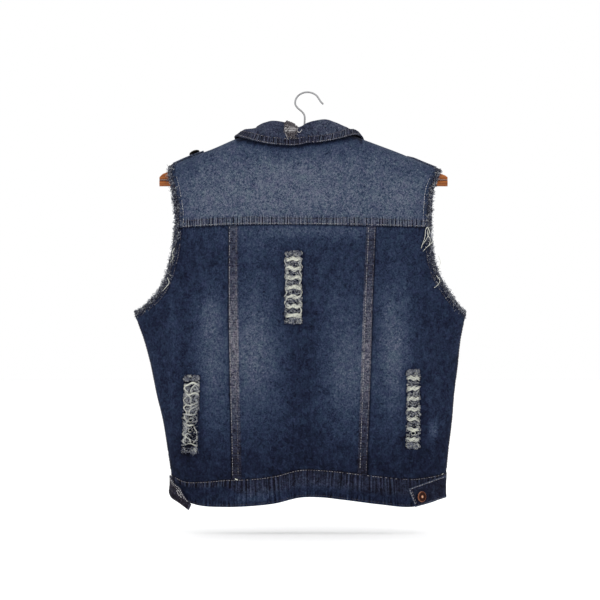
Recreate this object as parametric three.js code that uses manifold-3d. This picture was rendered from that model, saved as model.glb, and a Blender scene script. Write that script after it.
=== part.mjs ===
// A denim vest that hangs on a wooden hanger.
// Millimetres, +Z up. The wearer would face -Y, and the wearer's left side is at +X.
// The origin is the seat inside the top of the hanger's hook, where a peg carries it.
// "down" is a depth below that seat, so a point's height is minus its down.

import * as THREE from 'three';
import { mergeVertices } from 'three/addons/utils/BufferGeometryUtils.js';
import Module from 'manifold-3d';

// Cloth and seams
const CLOTH = 1.4;
const TWO_PLY = 2.6;
const TAB_WALL = 2.4;
const THREADS = 0.8;
const SEAM_GAP = 0.3;
const HALF_GAP = SEAM_GAP / 2;
const BAND_SEAM_GAP = 0.6;
const FRAY_GAP = 0.9;
const TAB_GAP = 0.4;
const FELL_WIDTH = 14;
const FELL_HEIGHT = 0.8;
const FELL_RAMP = 1.5;

// The leaves round over the shoulder line: the height of that curve, and the cloth it takes
const CAP_DROP = 28;
const CAP_RUN = 40;
const SHOULDER_SEAM_RUN = -11;
const QUARTER_TURN = Math.PI / 2;

// Half widths and half depth of the hollow body. Above the armpit the widths are those of
// the oval that the leaves lie on, and the armholes cut it short.
const BODY = [
  { down: 60, left: 236, right: 224, depth: 31 },
  { down: 130, left: 240, right: 227, depth: 34 },
  { down: 230, left: 250, right: 233, depth: 37 },
  { down: 343, left: 264, right: 245, depth: 40 },
  { down: 356, left: 259, right: 242, depth: 40 },
  { down: 381, left: 250, right: 237, depth: 40 },
  { down: 418, left: 240, right: 233, depth: 39 },
  { down: 467, left: 230, right: 227, depth: 38 },
  { down: 504, left: 221, right: 224, depth: 38 },
  { down: 554, left: 213, right: 218, depth: 39 },
  { down: 590, left: 208, right: 215, depth: 40 },
  { down: 640, left: 206, right: 214, depth: 42 },
];

// The shoulder line, which the middle of the neck interrupts
const CREST = [
  { across: 0, left: 41, right: 41 },
  { across: 40, left: 47, right: 53 },
  { across: 76, left: 59, right: 68 },
  { across: 108, left: 71, right: 80 },
  { across: 145, left: 87, right: 94 },
  { across: 183, left: 101, right: 110 },
  { across: 216, left: 116, right: 123 },
];

// The cut edge of each armhole, without its frayed threads
const ARMPIT_DOWN = 344;
const ARMHOLE = [
  { down: 112, left: 206, right: 202 },
  { down: 124, left: 207, right: 199 },
  { down: 147, left: 202, right: 190 },
  { down: 172, left: 198, right: 187 },
  { down: 196, left: 196, right: 186 },
  { down: 221, left: 198, right: 186 },
  { down: 246, left: 201, right: 189 },
  { down: 270, left: 207, right: 194 },
  { down: 295, left: 215, right: 205 },
  { down: 307, left: 222, right: 213 },
  { down: 320, left: 232, right: 222 },
  { down: 332, left: 245, right: 231 },
  { down: 340, left: 256, right: 239 },
  { down: ARMPIT_DOWN, left: 264, right: 245 },
];

// Seams of the back, and the hem of each face
const YOKE_SEAM = [
  { x: -200, down: 208 },
  { x: -107, down: 206 },
  { x: 0, down: 204 },
  { x: 123, down: 205 },
  { x: 205, down: 209 },
];
const LONG_SEAMS = [
  { down: 205, left: 120, right: -107 },
  { down: 320, left: 120, right: -102 },
  { down: 450, left: 118, right: -98 },
  { down: 530, left: 116, right: -95 },
  { down: 640, left: 114, right: -91 },
];
// "high" is the height of the waistband there
const HEM_BACK = [
  { x: -217, down: 622, high: 36.5 },
  { x: -190, down: 632, high: 41 },
  { x: -162, down: 638, high: 44 },
  { x: -113, down: 634, high: 44 },
  { x: -60, down: 627, high: 43.5 },
  { x: -20, down: 622.5, high: 43 },
  { x: 10, down: 623, high: 43.5 },
  { x: 48, down: 632, high: 43 },
  { x: 87, down: 636.5, high: 42.5 },
  { x: 125, down: 638, high: 42.5 },
  { x: 164, down: 636, high: 37 },
  { x: 187, down: 629.5, high: 31 },
  { x: 209, down: 622, high: 35 },
];
const HEM_FRONT = [
  { x: -217, down: 622, high: 36.5 },
  { x: -150, down: 632, high: 42 },
  { x: -60, down: 625, high: 42 },
  { x: 10, down: 622, high: 42 },
  { x: 70, down: 631, high: 42 },
  { x: 150, down: 632, high: 38 },
  { x: 209, down: 622, high: 35 },
];
const BAND_MIDDLE_DOWN = 620;
const BAND_TOP_DOWN = 590;
const YOKE_SEAM_DOWN = 206;
const RIPPLE = 3;
const RIPPLE_STARTS = 440;
const RIPPLE_FULL = 620;

// The neck opening, an oval in the cloth that is centred on the shoulder seams
const NECK = { middle: 5, halfWidth: 76, backRun: 53, frontRun: 95 };

// Front closing
const CLOSING = { middle: 5, underEdge: 20, overLeft: 24, overRight: -12, underRight: -16 };
const BAND_RAMP = 22;
const BUTTON_RADIUS = 8.5;
const BUTTON_LEAN = 0.62;
const LEAN_LIFT = 2.6;
const FRONT_BUTTONS_DOWN = [168, 258, 348, 438, 528];
const BAND_BUTTON_DOWN = 613;

// Collar sections. "turn" goes round the neck from the middle of the back, plus to the
// left. "rise" and "inset" place the fold above and inside the neck seam, and the free
// edge lies at a place across the body and at a run of cloth from the shoulder line.
const COLLAR = [
  { turn: -174, rise: 13, inset: -3, edgeX: -52, edgeRun: -128 },
  { turn: -150, rise: 13, inset: -3, edgeX: -72, edgeRun: -92 },
  { turn: -120, rise: 11, inset: -1, edgeX: -86, edgeRun: -50 },
  { turn: -90, rise: 8, inset: 3, edgeX: -86, edgeRun: -12 },
  { turn: -75, rise: 9, inset: 4, edgeX: -77, edgeRun: 3 },
  { turn: -60, rise: 13, inset: 3, edgeX: -61, edgeRun: 20 },
  { turn: -40, rise: 24, inset: 2, edgeX: -41, edgeRun: 33 },
  { turn: -26, rise: 30, inset: 0, edgeX: -24, edgeRun: 40 },
  { turn: -12, rise: 27, inset: 0, edgeX: -8, edgeRun: 46 },
  { turn: 5, rise: 17, inset: 0, edgeX: 12, edgeRun: 50 },
  { turn: 20, rise: 23, inset: 0, edgeX: 32, edgeRun: 48 },
  { turn: 38, rise: 23, inset: 1, edgeX: 58, edgeRun: 39 },
  { turn: 52, rise: 17, inset: 3, edgeX: 77, edgeRun: 30 },
  { turn: 70, rise: 9, inset: 4, edgeX: 99, edgeRun: 15 },
  { turn: 90, rise: 6, inset: 3, edgeX: 109, edgeRun: -6 },
  { turn: 120, rise: 11, inset: -1, edgeX: 97, edgeRun: -46 },
  { turn: 150, rise: 13, inset: -3, edgeX: 82, edgeRun: -92 },
  { turn: 174, rise: 13, inset: -3, edgeX: 62, edgeRun: -128 },
];
const COLLAR_SEAM_INSET = 2.6;
const COLLAR_WITHIN = 0.1;
const FOLD_HALF = 3;
const FOLD_SIDES_DOWN = 3.6;
const FALL_LIFT = 3.4;
const FALL_BULGE = 4.3;
const FRAY_LIFT = 1.7;

// Distressed ladders: the middle of the top and the bottom edge, and where rips lie
// between the top (0) and the bottom (1)
const LADDERS = [
  { name: 'ladder_centre', x: [20, 20], down: [246, 356], width: 25, rungs: 7, rips: [] },
  { name: 'ladder_left', x: [176, 180], down: [437, 556], width: 23, rungs: 7, rips: [0.57, 0.7] },
  { name: 'ladder_right', x: [-164, -164], down: [428, 548], width: 20, rungs: 7, rips: [0.805] },
];
const FIRST_RUNG = 0.1;
const LAST_RUNG = 0.885;
const RUNG_HALF = 0.03;
const RIP_GAP = { across: 5.5, high: 4.5 };

// Rows of the walls, as fractions of their height from the top
const YOKE_ROWS = [0, 0.05, 0.1, 0.16, 0.23, 0.31, 0.42, 0.55, 0.7];
const SIDE_ROWS = [
  0, 0.06, 0.12, 0.17, 0.21, 0.25, 0.28, 0.31, 0.335, 0.353, 0.368, 0.43, 0.5, 0.6, 0.7, 0.8, 0.9, 1,
];
const FRONT_ROWS = [
  0, 0.025, 0.05, 0.08, 0.13, 0.2, 0.27, 0.33, 0.38, 0.42, 0.445, 0.465, 0.485, 0.56, 0.67, 0.78, 0.89, 1,
];
const COLLAR_ROWS = [0, 0.1, 0.2, 0.28, 0.35, 0.4, 0.46, 0.55, 0.7, 0.85, 1];

// Frayed armhole edges
const STRANDS = 88;
const SAMPLES = 600;
const STRIP_WIDTH = 1.8;
const STRIP_WALL = 1.2;
const STRAND_LENGTH = 10;

// Hanger
const HANGER = {
  middle: 4.6,
  thick: 13,
  bevel: 2,
  tip: 222.5,
  endBottom: 133.8,
  barHigh: 10,
  barDeep: 12,
  clearOfCrest: 2,
  neckTop: 62,
};
const WIRE_RADIUS = 1.4;
const HOOK_HALF_WIDTH = 19;
const HOOK_HALF_HEIGHT = 16.2;

const MATERIALS = {
  denim: new THREE.MeshStandardMaterial({ color: 0x2b3448, roughness: 0.92, metalness: 0 }),
  faded: new THREE.MeshStandardMaterial({ color: 0x4a566c, roughness: 0.92, metalness: 0 }),
  fray: new THREE.MeshStandardMaterial({ color: 0xb9bdb6, roughness: 0.95, metalness: 0 }),
  button: new THREE.MeshStandardMaterial({ color: 0x9a6238, roughness: 0.4, metalness: 0.9 }),
  wood: new THREE.MeshStandardMaterial({ color: 0xa66b41, roughness: 0.45, metalness: 0 }),
  wire: new THREE.MeshStandardMaterial({ color: 0x8c8f93, roughness: 0.3, metalness: 1 }),
};

const vest = new THREE.Group();
const wasm = await Module();
wasm.setup();

// Small helpers

const mix = (a, b, t) => a + (b - a) * t;
const clamp = (value, low, high) => Math.min(high, Math.max(low, value));
const fractions = (count) => Array.from({ length: count + 1 }, (_, i) => i / count);

function ease(value) {
  const t = clamp(value, 0, 1);
  return t * t * (3 - 2 * t);
}

// Reads a column of a table along a smooth curve through its rows
function along(table, key, column, at) {
  const last = table.length - 1;
  const where = clamp(at, table[0][key], table[last][key]);
  let i = 0;
  while (i < last - 1 && where > table[i + 1][key]) i += 1;
  const slope = (a, b) => (table[b][column] - table[a][column]) / (table[b][key] - table[a][key]);
  const span = table[i + 1][key] - table[i][key];
  const here = slope(i, i + 1);
  const before = i > 0 ? (slope(i - 1, i) + here) / 2 : here;
  const after = i < last - 1 ? (slope(i + 1, i + 2) + here) / 2 : here;
  const t = (where - table[i][key]) / span;
  const start = table[i][column] * (1 + 2 * t) * (1 - t) ** 2 + before * span * t * (1 - t) ** 2;
  return start + table[i + 1][column] * t * t * (3 - 2 * t) + after * span * t * t * (t - 1);
}

// An uneven but repeatable number from -1 to 1
function uneven(index, kind) {
  const wave = Math.sin(index * 12.9898 + kind * 78.233) * 43758.5453;
  return (wave - Math.floor(wave)) * 2 - 1;
}

function add(name, geometry, material) {
  const mesh = new THREE.Mesh(geometry, material);
  mesh.name = name;
  vest.add(mesh);
  return mesh;
}

// The hollow body

const sideOf = (signed) => (signed >= 0 ? 'left' : 'right');
const halfWidth = (signed, down) => along(BODY, 'down', sideOf(signed), down);
const halfDepth = (down) => along(BODY, 'down', 'depth', down);
const crest = (x) => along(CREST, 'across', sideOf(x), Math.abs(x));
const turnOf = (x, down) => Math.asin(clamp(x / halfWidth(x, down), -1, 1));

function capAngle(run) {
  return clamp(run / CAP_RUN, -1, 1) * QUARTER_TURN;
}

function fallAt(run) {
  return CAP_DROP * (1 - Math.cos(capAngle(run))) + Math.max(0, Math.abs(run) - CAP_RUN);
}

// The run of cloth from the shoulder line to a depth that is below the rounded stretch
function runTo(x, down) {
  return CAP_RUN + (down - crest(x) - CAP_DROP);
}

// Soft waves of the hem in depth
function ripple(turn, down) {
  const grown = ease((down - RIPPLE_STARTS) / (RIPPLE_FULL - RIPPLE_STARTS));
  return RIPPLE * grown * Math.cos(turn) * Math.cos(5 * turn);
}

// A point of one face of the body: face is 1 at the back and -1 at the front
function onFace(face, turn, down, reach = 1) {
  const x = halfWidth(turn, down) * Math.sin(turn);
  const y = face * (halfDepth(down) * Math.cos(turn) + ripple(turn, down)) * reach;
  return new THREE.Vector3(x, y, -down);
}

// A point at a place across and a run of cloth from the shoulder line. A run below zero
// has gone over to the other face. turnAt gives the turn there from the depth.
function overShoulder(face, turnAt, run) {
  let down = -SHOULDER_SEAM_RUN + CAP_DROP + Math.abs(run);
  let turn = 0;
  for (let pass = 0; pass < 6; pass += 1) {
    turn = turnAt(down);
    down = crest(halfWidth(turn, down) * Math.sin(turn)) + fallAt(run);
  }
  return onFace(face, turnAt(down), down, Math.sin(capAngle(run)));
}

const placeOver = (x, run) => overShoulder(1, (down) => turnOf(x, down), run);

// The turn of the outer edge: the armhole, and below it the side seam
function outerTurn(side, down) {
  if (down < ARMPIT_DOWN) {
    const sign = side === 'left' ? 1 : -1;
    const edge = sign * along(ARMHOLE, 'down', side, down);
    const limit = QUARTER_TURN - HALF_GAP / halfDepth(down);
    return sign * Math.min(Math.abs(turnOf(edge, down)), limit);
  }
  return (side === 'left' ? 1 : -1) * (QUARTER_TURN - HALF_GAP / halfDepth(down));
}

// A direction away from the middle of the body, which tells outward from inward
const INSIDE_SHARE = 0.2;
const INSIDE_ABOVE = 30;

function directionAt(place, u, v) {
  const step = 1e-4;
  const du = place(u + step, v).sub(place(u - step, v));
  const dv = place(u, v + step).sub(place(u, v - step));
  return du.cross(dv).normalize();
}

// The body's outward direction at a point on it or close to it
function bodyOut(at) {
  const down = -at.z;
  const turn = turnOf(at.x, down);
  const fall = Math.max(0, down - crest(at.x));
  const cap = Math.acos(1 - Math.min(fall, CAP_DROP) / CAP_DROP) / QUARTER_TURN;
  const run = (cap * CAP_RUN + Math.max(0, fall - CAP_DROP)) * (at.y < 0 ? -1 : 1);
  const out = directionAt((u, v) => overShoulder(1, () => turn + u, run + v), 0, 0);
  const fromInside = new THREE.Vector3(at.x * INSIDE_SHARE, at.y, INSIDE_ABOVE);
  return out.dot(fromInside) < 0 ? out.negate() : out;
}

// Closed walls from a grid of points

function signedVolume(points, faces) {
  let sum = 0;
  for (const [a, b, c] of faces) {
    sum += points[a].dot(new THREE.Vector3().crossVectors(points[b], points[c]));
  }
  return sum / 6;
}

function solid(points, faces) {
  const outward = signedVolume(points, faces) > 0;
  const index = faces.flatMap(([a, b, c]) => (outward ? [a, b, c] : [a, c, b]));
  const geometry = new THREE.BufferGeometry();
  const numbers = points.flatMap((p) => p.toArray());
  geometry.setAttribute('position', new THREE.Float32BufferAttribute(numbers, 3));
  geometry.setIndex(index);
  geometry.computeVertexNormals();
  return geometry;
}

// A wall over a grid of columns and rows. "under" and "over" are how far its two sides lie
// from the placed surface along its outward direction, and "keep" leaves cells open. A piece
// that isn't part of the body's surface is "free" and faces the way that its grid turns.
function wall({ place, columns, rows, under, over, keep = () => true, free = false }) {
  const points = [];
  const wide = columns.length;
  const high = rows.length;
  for (const u of columns) {
    for (const v of rows) {
      const at = place(u, v);
      const out = free ? directionAt(place, u, v) : bodyOut(at);
      points.push(at.clone().addScaledVector(out, under));
      points.push(at.clone().addScaledVector(out, typeof over === 'function' ? over(u, v) : over));
    }
  }
  const low = (i, j) => 2 * (i * high + j);
  const top = (i, j) => low(i, j) + 1;
  const kept = (i, j) => i >= 0 && j >= 0 && i < wide - 1 && j < high - 1 && keep(i, j);
  const faces = [];
  const quad = (a, b, c, d) => faces.push([a, b, c], [a, c, d]);
  for (let i = 0; i < wide - 1; i += 1) {
    for (let j = 0; j < high - 1; j += 1) {
      if (!kept(i, j)) continue;
      const ring = [[i, j], [i + 1, j], [i + 1, j + 1], [i, j + 1]];
      const span = (a, b) => points[low(...ring[a])].distanceTo(points[low(...ring[b])]);
      if (span(0, 2) > span(1, 3)) ring.push(ring.shift());
      const [a, b, c, d] = ring;
      quad(top(...a), top(...b), top(...c), top(...d));
      quad(low(...a), low(...d), low(...c), low(...b));
      if (!kept(i, j - 1)) quad(low(i, j), low(i + 1, j), top(i + 1, j), top(i, j));
      if (!kept(i, j + 1)) quad(top(i, j + 1), top(i + 1, j + 1), low(i + 1, j + 1), low(i, j + 1));
      if (!kept(i - 1, j)) quad(low(i, j + 1), low(i, j), top(i, j), top(i, j + 1));
      if (!kept(i + 1, j)) quad(low(i + 1, j), low(i + 1, j + 1), top(i + 1, j + 1), top(i + 1, j));
    }
  }
  return solid(points, faces);
}

function cut(geometry, cutter) {
  const body = asManifold(geometry).subtract(asManifold(cutter));
  const result = body.getMesh();
  const stride = result.numProp;
  const position = new Float32Array((result.vertProperties.length / stride) * 3);
  for (let i = 0; i < position.length / 3; i += 1) {
    for (let k = 0; k < 3; k += 1) position[i * 3 + k] = result.vertProperties[i * stride + k];
  }
  const carved = new THREE.BufferGeometry();
  carved.setAttribute('position', new THREE.BufferAttribute(position, 3));
  carved.setIndex(Array.from(result.triVerts));
  carved.computeVertexNormals();
  return carved;
}

function asManifold(geometry) {
  const bare = geometry.clone();
  bare.deleteAttribute('normal');
  bare.deleteAttribute('uv');
  const merged = mergeVertices(bare);
  const mesh = new wasm.Mesh({
    numProp: 3,
    vertProperties: merged.attributes.position.array,
    triVerts: Uint32Array.from(merged.index.array),
  });
  return new wasm.Manifold(mesh);
}

// The oval neck seam, as a run of cloth at a place across

function neckRun(x, length) {
  const off = clamp((x - NECK.middle) / NECK.halfWidth, -1, 1);
  return SHOULDER_SEAM_RUN + length * Math.sqrt(1 - off * off);
}

// Back yoke

function yokeAcross(u, down) {
  return mix(outerTurn('right', down), outerTurn('left', down), u);
}

function yokePlace(u, v) {
  const tipDown = ARMHOLE[0].down;
  const tipTurn = yokeAcross(u, tipDown);
  const topX = halfWidth(tipTurn, tipDown) * Math.sin(tipTurn);
  const top = neckRun(topX, NECK.backRun);
  const seamTurnAt = yokeAcross(u, YOKE_SEAM_DOWN);
  const seamX = halfWidth(seamTurnAt, YOKE_SEAM_DOWN) * Math.sin(seamTurnAt);
  const bottom = runTo(seamX, along(YOKE_SEAM, 'x', 'down', seamX) - HALF_GAP);
  return overShoulder(1, (down) => yokeAcross(u, down), mix(top, bottom, v));
}

// Columns of a grid that pass through chosen places across, between two edges
function columnsThrough(places, from, to, down) {
  return places.map((x) => (turnOf(x, down) - from) / (to - from));
}

function backYoke() {
  const halfNeck = [0, 20, 40, 54, 64, 71, 75, NECK.halfWidth];
  const shoulderLeft = [88, 98, 112, 130, 150, 172, 190];
  const shoulderRight = [-186, -168, -148, -126, -106, -90, -79];
  const bothHalves = [...halfNeck.slice(1).reverse().map((x) => -x), ...halfNeck];
  const neck = bothHalves.map((x) => NECK.middle + x);
  const down = ARMHOLE[0].down;
  const from = outerTurn('right', down);
  const to = outerTurn('left', down);
  const inner = columnsThrough([...shoulderRight, ...neck, ...shoulderLeft], from, to, down);
  const length = runTo(0, YOKE_SEAM_DOWN) - neckRun(0, NECK.backRun);
  const fellTop = 1 - FELL_WIDTH / length;
  const aboveFell = fellTop - FELL_RAMP / length;
  const rows = [...YOKE_ROWS, aboveFell, fellTop, 1];
  const geometry = wall({
    place: yokePlace,
    columns: [0, ...inner, 1],
    rows,
    under: -CLOTH / 2,
    over: (u, v) => CLOTH / 2 + (v >= fellTop ? FELL_HEIGHT : 0),
  });
  add('back_yoke', geometry, MATERIALS.faded);
}

// The waistband's upper edge, and the panels' lower edge above it
const bandTop = (hem, x) => along(hem, 'x', 'down', x) - along(hem, 'x', 'high', x);
const aboveBand = (hem, x) => bandTop(hem, x) - BAND_SEAM_GAP;

// Back panels, from the yoke seam to the waistband

function backPanelPlace(innerTurn, outer) {
  const placeX = (u, down) => {
    const turn = mix(innerTurn(down), outer(down), u);
    return halfWidth(turn, down) * Math.sin(turn);
  };
  return (u, v) => {
    const top = along(YOKE_SEAM, 'x', 'down', placeX(u, YOKE_SEAM_DOWN)) + HALF_GAP;
    const bottom = aboveBand(HEM_BACK, placeX(u, BAND_TOP_DOWN));
    const down = mix(top, bottom, v);
    return onFace(1, mix(innerTurn(down), outer(down), u), down);
  };
}

const seamTurn = (side, down, shift) => turnOf(along(LONG_SEAMS, 'down', side, down) + shift, down);

function backCentrePanel() {
  const place = backPanelPlace(
    (down) => seamTurn('right', down, HALF_GAP),
    (down) => seamTurn('left', down, -HALF_GAP),
  );
  const width = LONG_SEAMS[1].left - LONG_SEAMS[1].right;
  const fell = FELL_WIDTH / width;
  const ramp = FELL_RAMP / width;
  const middle = fractions(12).map((t) => mix(fell + ramp, 1 - fell - ramp, t));
  const geometry = wall({
    place,
    columns: [0, fell, ...middle, 1 - fell, 1],
    rows: fractions(14),
    under: -CLOTH / 2,
    over: (u) => CLOTH / 2 + (u <= fell || u >= 1 - fell ? FELL_HEIGHT : 0),
  });
  add('back_centre_panel', geometry, MATERIALS.denim);
}

function backSidePanel(side) {
  const sign = side === 'left' ? 1 : -1;
  const inner = (down) => seamTurn(side, down, sign * HALF_GAP);
  const outer = (down) => outerTurn(side, down);
  let geometry = wall({
    place: backPanelPlace(inner, outer),
    columns: fractions(9),
    rows: SIDE_ROWS,
    under: -CLOTH / 2,
    over: CLOTH / 2,
  });
  for (const ladder of LADDERS) {
    if (ladder.name === `ladder_${side}`) {
      for (const rip of ladder.rips) geometry = cut(geometry, ripCutter(ladder, rip));
    }
  }
  add(`back_side_${side}`, geometry, MATERIALS.denim);
}

// Front panels, plain, from the shoulder seam and the neck to the waistband

function frontPlace(side) {
  const sign = side === 'left' ? 1 : -1;
  const innerX = side === 'left' ? CLOSING.underEdge : CLOSING.underRight;
  const inner = (down) => turnOf(innerX, down);
  const across = (u, down) => mix(inner(down), outerTurn(side, down), u);
  const placeX = (u, down) => halfWidth(sign, down) * Math.sin(across(u, down));
  return (u, v) => {
    const top = -neckRun(placeX(u, ARMHOLE[0].down), -NECK.frontRun) + SEAM_GAP;
    const bandX = placeX(u, BAND_TOP_DOWN);
    const bottom = runTo(bandX, aboveBand(HEM_FRONT, bandX));
    return overShoulder(-1, (down) => across(u, down), mix(top, bottom, v));
  };
}

function frontPanel(side) {
  const sign = side === 'left' ? 1 : -1;
  const down = ARMHOLE[0].down;
  const innerX = side === 'left' ? CLOSING.underEdge : CLOSING.underRight;
  const from = turnOf(innerX, down);
  const to = outerTurn(side, down);
  const neckPlaces = [40, 56, 67, 73, NECK.halfWidth].map((x) => NECK.middle + sign * x);
  const shoulderPlaces = [100, 125, 150, 178].map((x) => sign * x);
  const inner = columnsThrough([...neckPlaces, ...shoulderPlaces], from, to, down);
  const geometry = wall({
    place: frontPlace(side),
    columns: [0, ...inner, 1],
    rows: FRONT_ROWS,
    under: -CLOTH / 2,
    over: CLOTH / 2,
  });
  add(`front_${side}`, geometry, MATERIALS.denim);
}

// The two plackets at the middle of the front: the left one lies over the right one

function placketPlace(fromX, toX) {
  return (u, v) => {
    const x = mix(fromX, toX, u);
    const neck = -neckRun(x, -NECK.frontRun) + SEAM_GAP;
    const top = crest(x) + fallAt(neck);
    const bottom = aboveBand(HEM_FRONT, x);
    const down = mix(top, bottom, v);
    return onFace(-1, turnOf(x, down), down);
  };
}

function plackets() {
  const under = wall({
    place: placketPlace(CLOSING.underRight + SEAM_GAP, CLOSING.underEdge - SEAM_GAP),
    columns: fractions(2),
    rows: fractions(12),
    under: -CLOTH / 2,
    over: CLOTH / 2,
  });
  const overBase = CLOTH / 2 + SEAM_GAP;
  const over = wall({
    place: placketPlace(CLOSING.overRight, CLOSING.overLeft),
    columns: fractions(2),
    rows: fractions(12),
    under: overBase,
    over: overBase + TAB_WALL,
  });
  add('placket_right', under, MATERIALS.denim);
  add('placket_left', over, MATERIALS.denim);
}

// Waistband

function bandPlace(face, hem, fromTurn, toTurn, lift = () => 0) {
  return (u, v) => {
    const turn = mix(fromTurn, toTurn, u);
    const x = halfWidth(turn, BAND_MIDDLE_DOWN) * Math.sin(turn);
    const down = mix(bandTop(hem, x), along(hem, 'x', 'down', x), v);
    const at = onFace(face, turn, down);
    at.y += face * lift(x);
    return at;
  };
}

function waistband() {
  const sideTurn = QUARTER_TURN - HALF_GAP / halfDepth(BAND_MIDDLE_DOWN);
  const underEnd = turnOf(CLOSING.underEdge, BAND_MIDDLE_DOWN);
  const overEnd = turnOf(CLOSING.overRight, BAND_MIDDLE_DOWN);
  const rampEnd = CLOSING.underEdge + 4;
  const lift = (x) => (TWO_PLY + TAB_GAP) * ease((rampEnd + BAND_RAMP - x) / BAND_RAMP);
  const band = (name, place, steps) => {
    const geometry = wall({
      place,
      columns: fractions(steps),
      rows: fractions(2),
      under: -TWO_PLY / 2,
      over: TWO_PLY / 2,
    });
    add(name, geometry, MATERIALS.denim);
  };
  band('waistband_back', bandPlace(1, HEM_BACK, -sideTurn, sideTurn), 28);
  band('waistband_front_right', bandPlace(-1, HEM_FRONT, -sideTurn, underEnd), 14);
  band('waistband_front_left', bandPlace(-1, HEM_FRONT, overEnd, sideTurn, lift), 18);
}

// Waist tabs, one buttoned down and one hanging loose from its side seam

const BAND_FACE = TWO_PLY / 2 + SEAM_GAP;

// The buttoned tab from its root at the side seam (x, down) to its end
const BUTTONED_TOP = [[-212.5, 590], [-156, 610]];
const BUTTONED_BOTTOM = [[-212.5, 624], [-167, 638]];
const BUTTONED_COLUMNS = [0, 0.03, 0.08, 0.16, 0.28, 0.5, 0.75, 1];

// Both long edges of the loose tab from its root to its tip (x, y, down)
const LOOSE_NEAR = [[210.6, 4, 590], [203.5, 15, 602], [194.5, 22, 609.5], [188.5, 27, 621], [177.5, 33, 634]];
const LOOSE_FAR = [[210.9, 1.5, 611], [211, 12, 617.5], [207.5, 20, 624.5], [196, 26, 632], [181, 29, 642.5]];

function buttonedTabPlace(u, v) {
  const rootToEnd = (edge, k) => mix(edge[0][k], edge[1][k], u);
  const x = mix(rootToEnd(BUTTONED_TOP, 0), rootToEnd(BUTTONED_BOTTOM, 0), v);
  const down = mix(rootToEnd(BUTTONED_TOP, 1), rootToEnd(BUTTONED_BOTTOM, 1), v);
  return onFace(1, turnOf(x, down), down);
}

function buttonedTab() {
  const geometry = wall({
    place: buttonedTabPlace,
    columns: BUTTONED_COLUMNS,
    rows: fractions(3),
    under: BAND_FACE,
    over: BAND_FACE + TAB_WALL,
  });
  add('waist_tab_right', geometry, MATERIALS.denim);
}

function curveThrough(list) {
  const points = list.map(([x, y, down]) => new THREE.Vector3(x, y, -down));
  return new THREE.CatmullRomCurve3(points);
}

function looseTab() {
  const nearEdge = curveThrough(LOOSE_NEAR);
  const farEdge = curveThrough(LOOSE_FAR);
  const place = (u, v) => nearEdge.getPoint(clamp(u, 0, 1)).lerp(farEdge.getPoint(clamp(u, 0, 1)), v);
  const half = TAB_WALL / 2;
  const tab = { place, columns: fractions(7), rows: fractions(2), under: -half, over: half, free: true };
  add('waist_tab_left', wall(tab), MATERIALS.denim);
}

// Shoulder tabs over the shoulder line

const SHOULDER_TABS = [
  { name: 'shoulder_tab_left', root: 205, end: 158, middle: -9, halfWide: 13, button: [171, -9] },
  { name: 'shoulder_tab_right', root: -200, end: -155, middle: -15, halfWide: 13, button: [-167, -20] },
];

function shoulderTabPlace(tab) {
  return (u, v) => {
    const narrowing = 1 - 0.45 * ease((u - 0.7) / 0.3);
    return placeOver(mix(tab.root, tab.end, u), tab.middle + tab.halfWide * narrowing * (2 * v - 1));
  };
}

function shoulderTabs() {
  const under = CLOTH / 2 + SEAM_GAP;
  for (const tab of SHOULDER_TABS) {
    const place = shoulderTabPlace(tab);
    const columns = [0, 0.2, 0.4, 0.6, 0.75, 0.9, 1];
    const over = under + TAB_WALL;
    add(tab.name, wall({ place, columns, rows: fractions(5), under, over }), MATERIALS.denim);
  }
}

// Collar: one wall from the neck seam up, over the fold and down to its free edge

function neckPoint(turn) {
  const angle = THREE.MathUtils.degToRad(turn);
  const length = Math.cos(angle) > 0 ? NECK.backRun : NECK.frontRun;
  const run = SHOULDER_SEAM_RUN + length * Math.cos(angle);
  return placeOver(NECK.middle + NECK.halfWidth * Math.sin(angle), run);
}

// The way that the fold faces, which turns to the front faster than the seam does
function foldFacing(turn) {
  const ahead = Math.max(0, Math.abs(turn) - 60) / 120;
  const facing = turn + Math.sign(turn) * 30 * Math.sin(Math.PI * ahead);
  return THREE.MathUtils.degToRad(facing);
}

// The direction in the cloth from the neck seam towards the middle of the neck
function intoNeck(turn) {
  const angle = THREE.MathUtils.degToRad(turn);
  const length = Math.cos(angle) > 0 ? NECK.backRun : NECK.frontRun;
  const run = SHOULDER_SEAM_RUN + 0.96 * length * Math.cos(angle);
  const inner = placeOver(NECK.middle + 0.96 * NECK.halfWidth * Math.sin(angle), run);
  return inner.sub(neckPoint(turn)).normalize();
}

function collarSection(turn) {
  const facing = foldFacing(turn);
  const outward = new THREE.Vector3(Math.sin(facing), Math.cos(facing), 0);
  const up = new THREE.Vector3(0, 0, 1);
  const read = (column) => along(COLLAR, 'turn', column, turn);
  const seam = neckPoint(turn).addScaledVector(intoNeck(turn), COLLAR_SEAM_INSET);
  const fold = neckPoint(turn).addScaledVector(up, read('rise')).addScaledVector(outward, -read('inset'));
  const beside = fold.clone().addScaledVector(up, -FOLD_SIDES_DOWN);
  const inside = beside.clone().addScaledVector(outward, -FOLD_HALF);
  const outside = beside.clone().addScaledVector(outward, FOLD_HALF);
  const edgeOnCloth = placeOver(read('edgeX'), read('edgeRun'));
  const edgeAway = bodyOut(edgeOnCloth);
  const edge = edgeOnCloth.clone().addScaledVector(edgeAway, FALL_LIFT);
  const bulge = outside.clone().lerp(edge, 0.5);
  bulge.addScaledVector(edgeAway, FALL_BULGE);
  return new THREE.CatmullRomCurve3([seam, inside, fold, outside, bulge, edge], false, 'centripetal');
}

function collarPlace(u, v) {
  const turn = mix(COLLAR[0].turn, COLLAR[COLLAR.length - 1].turn, u);
  return collarSection(turn).getPoint(clamp(v, 0, 1));
}

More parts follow.
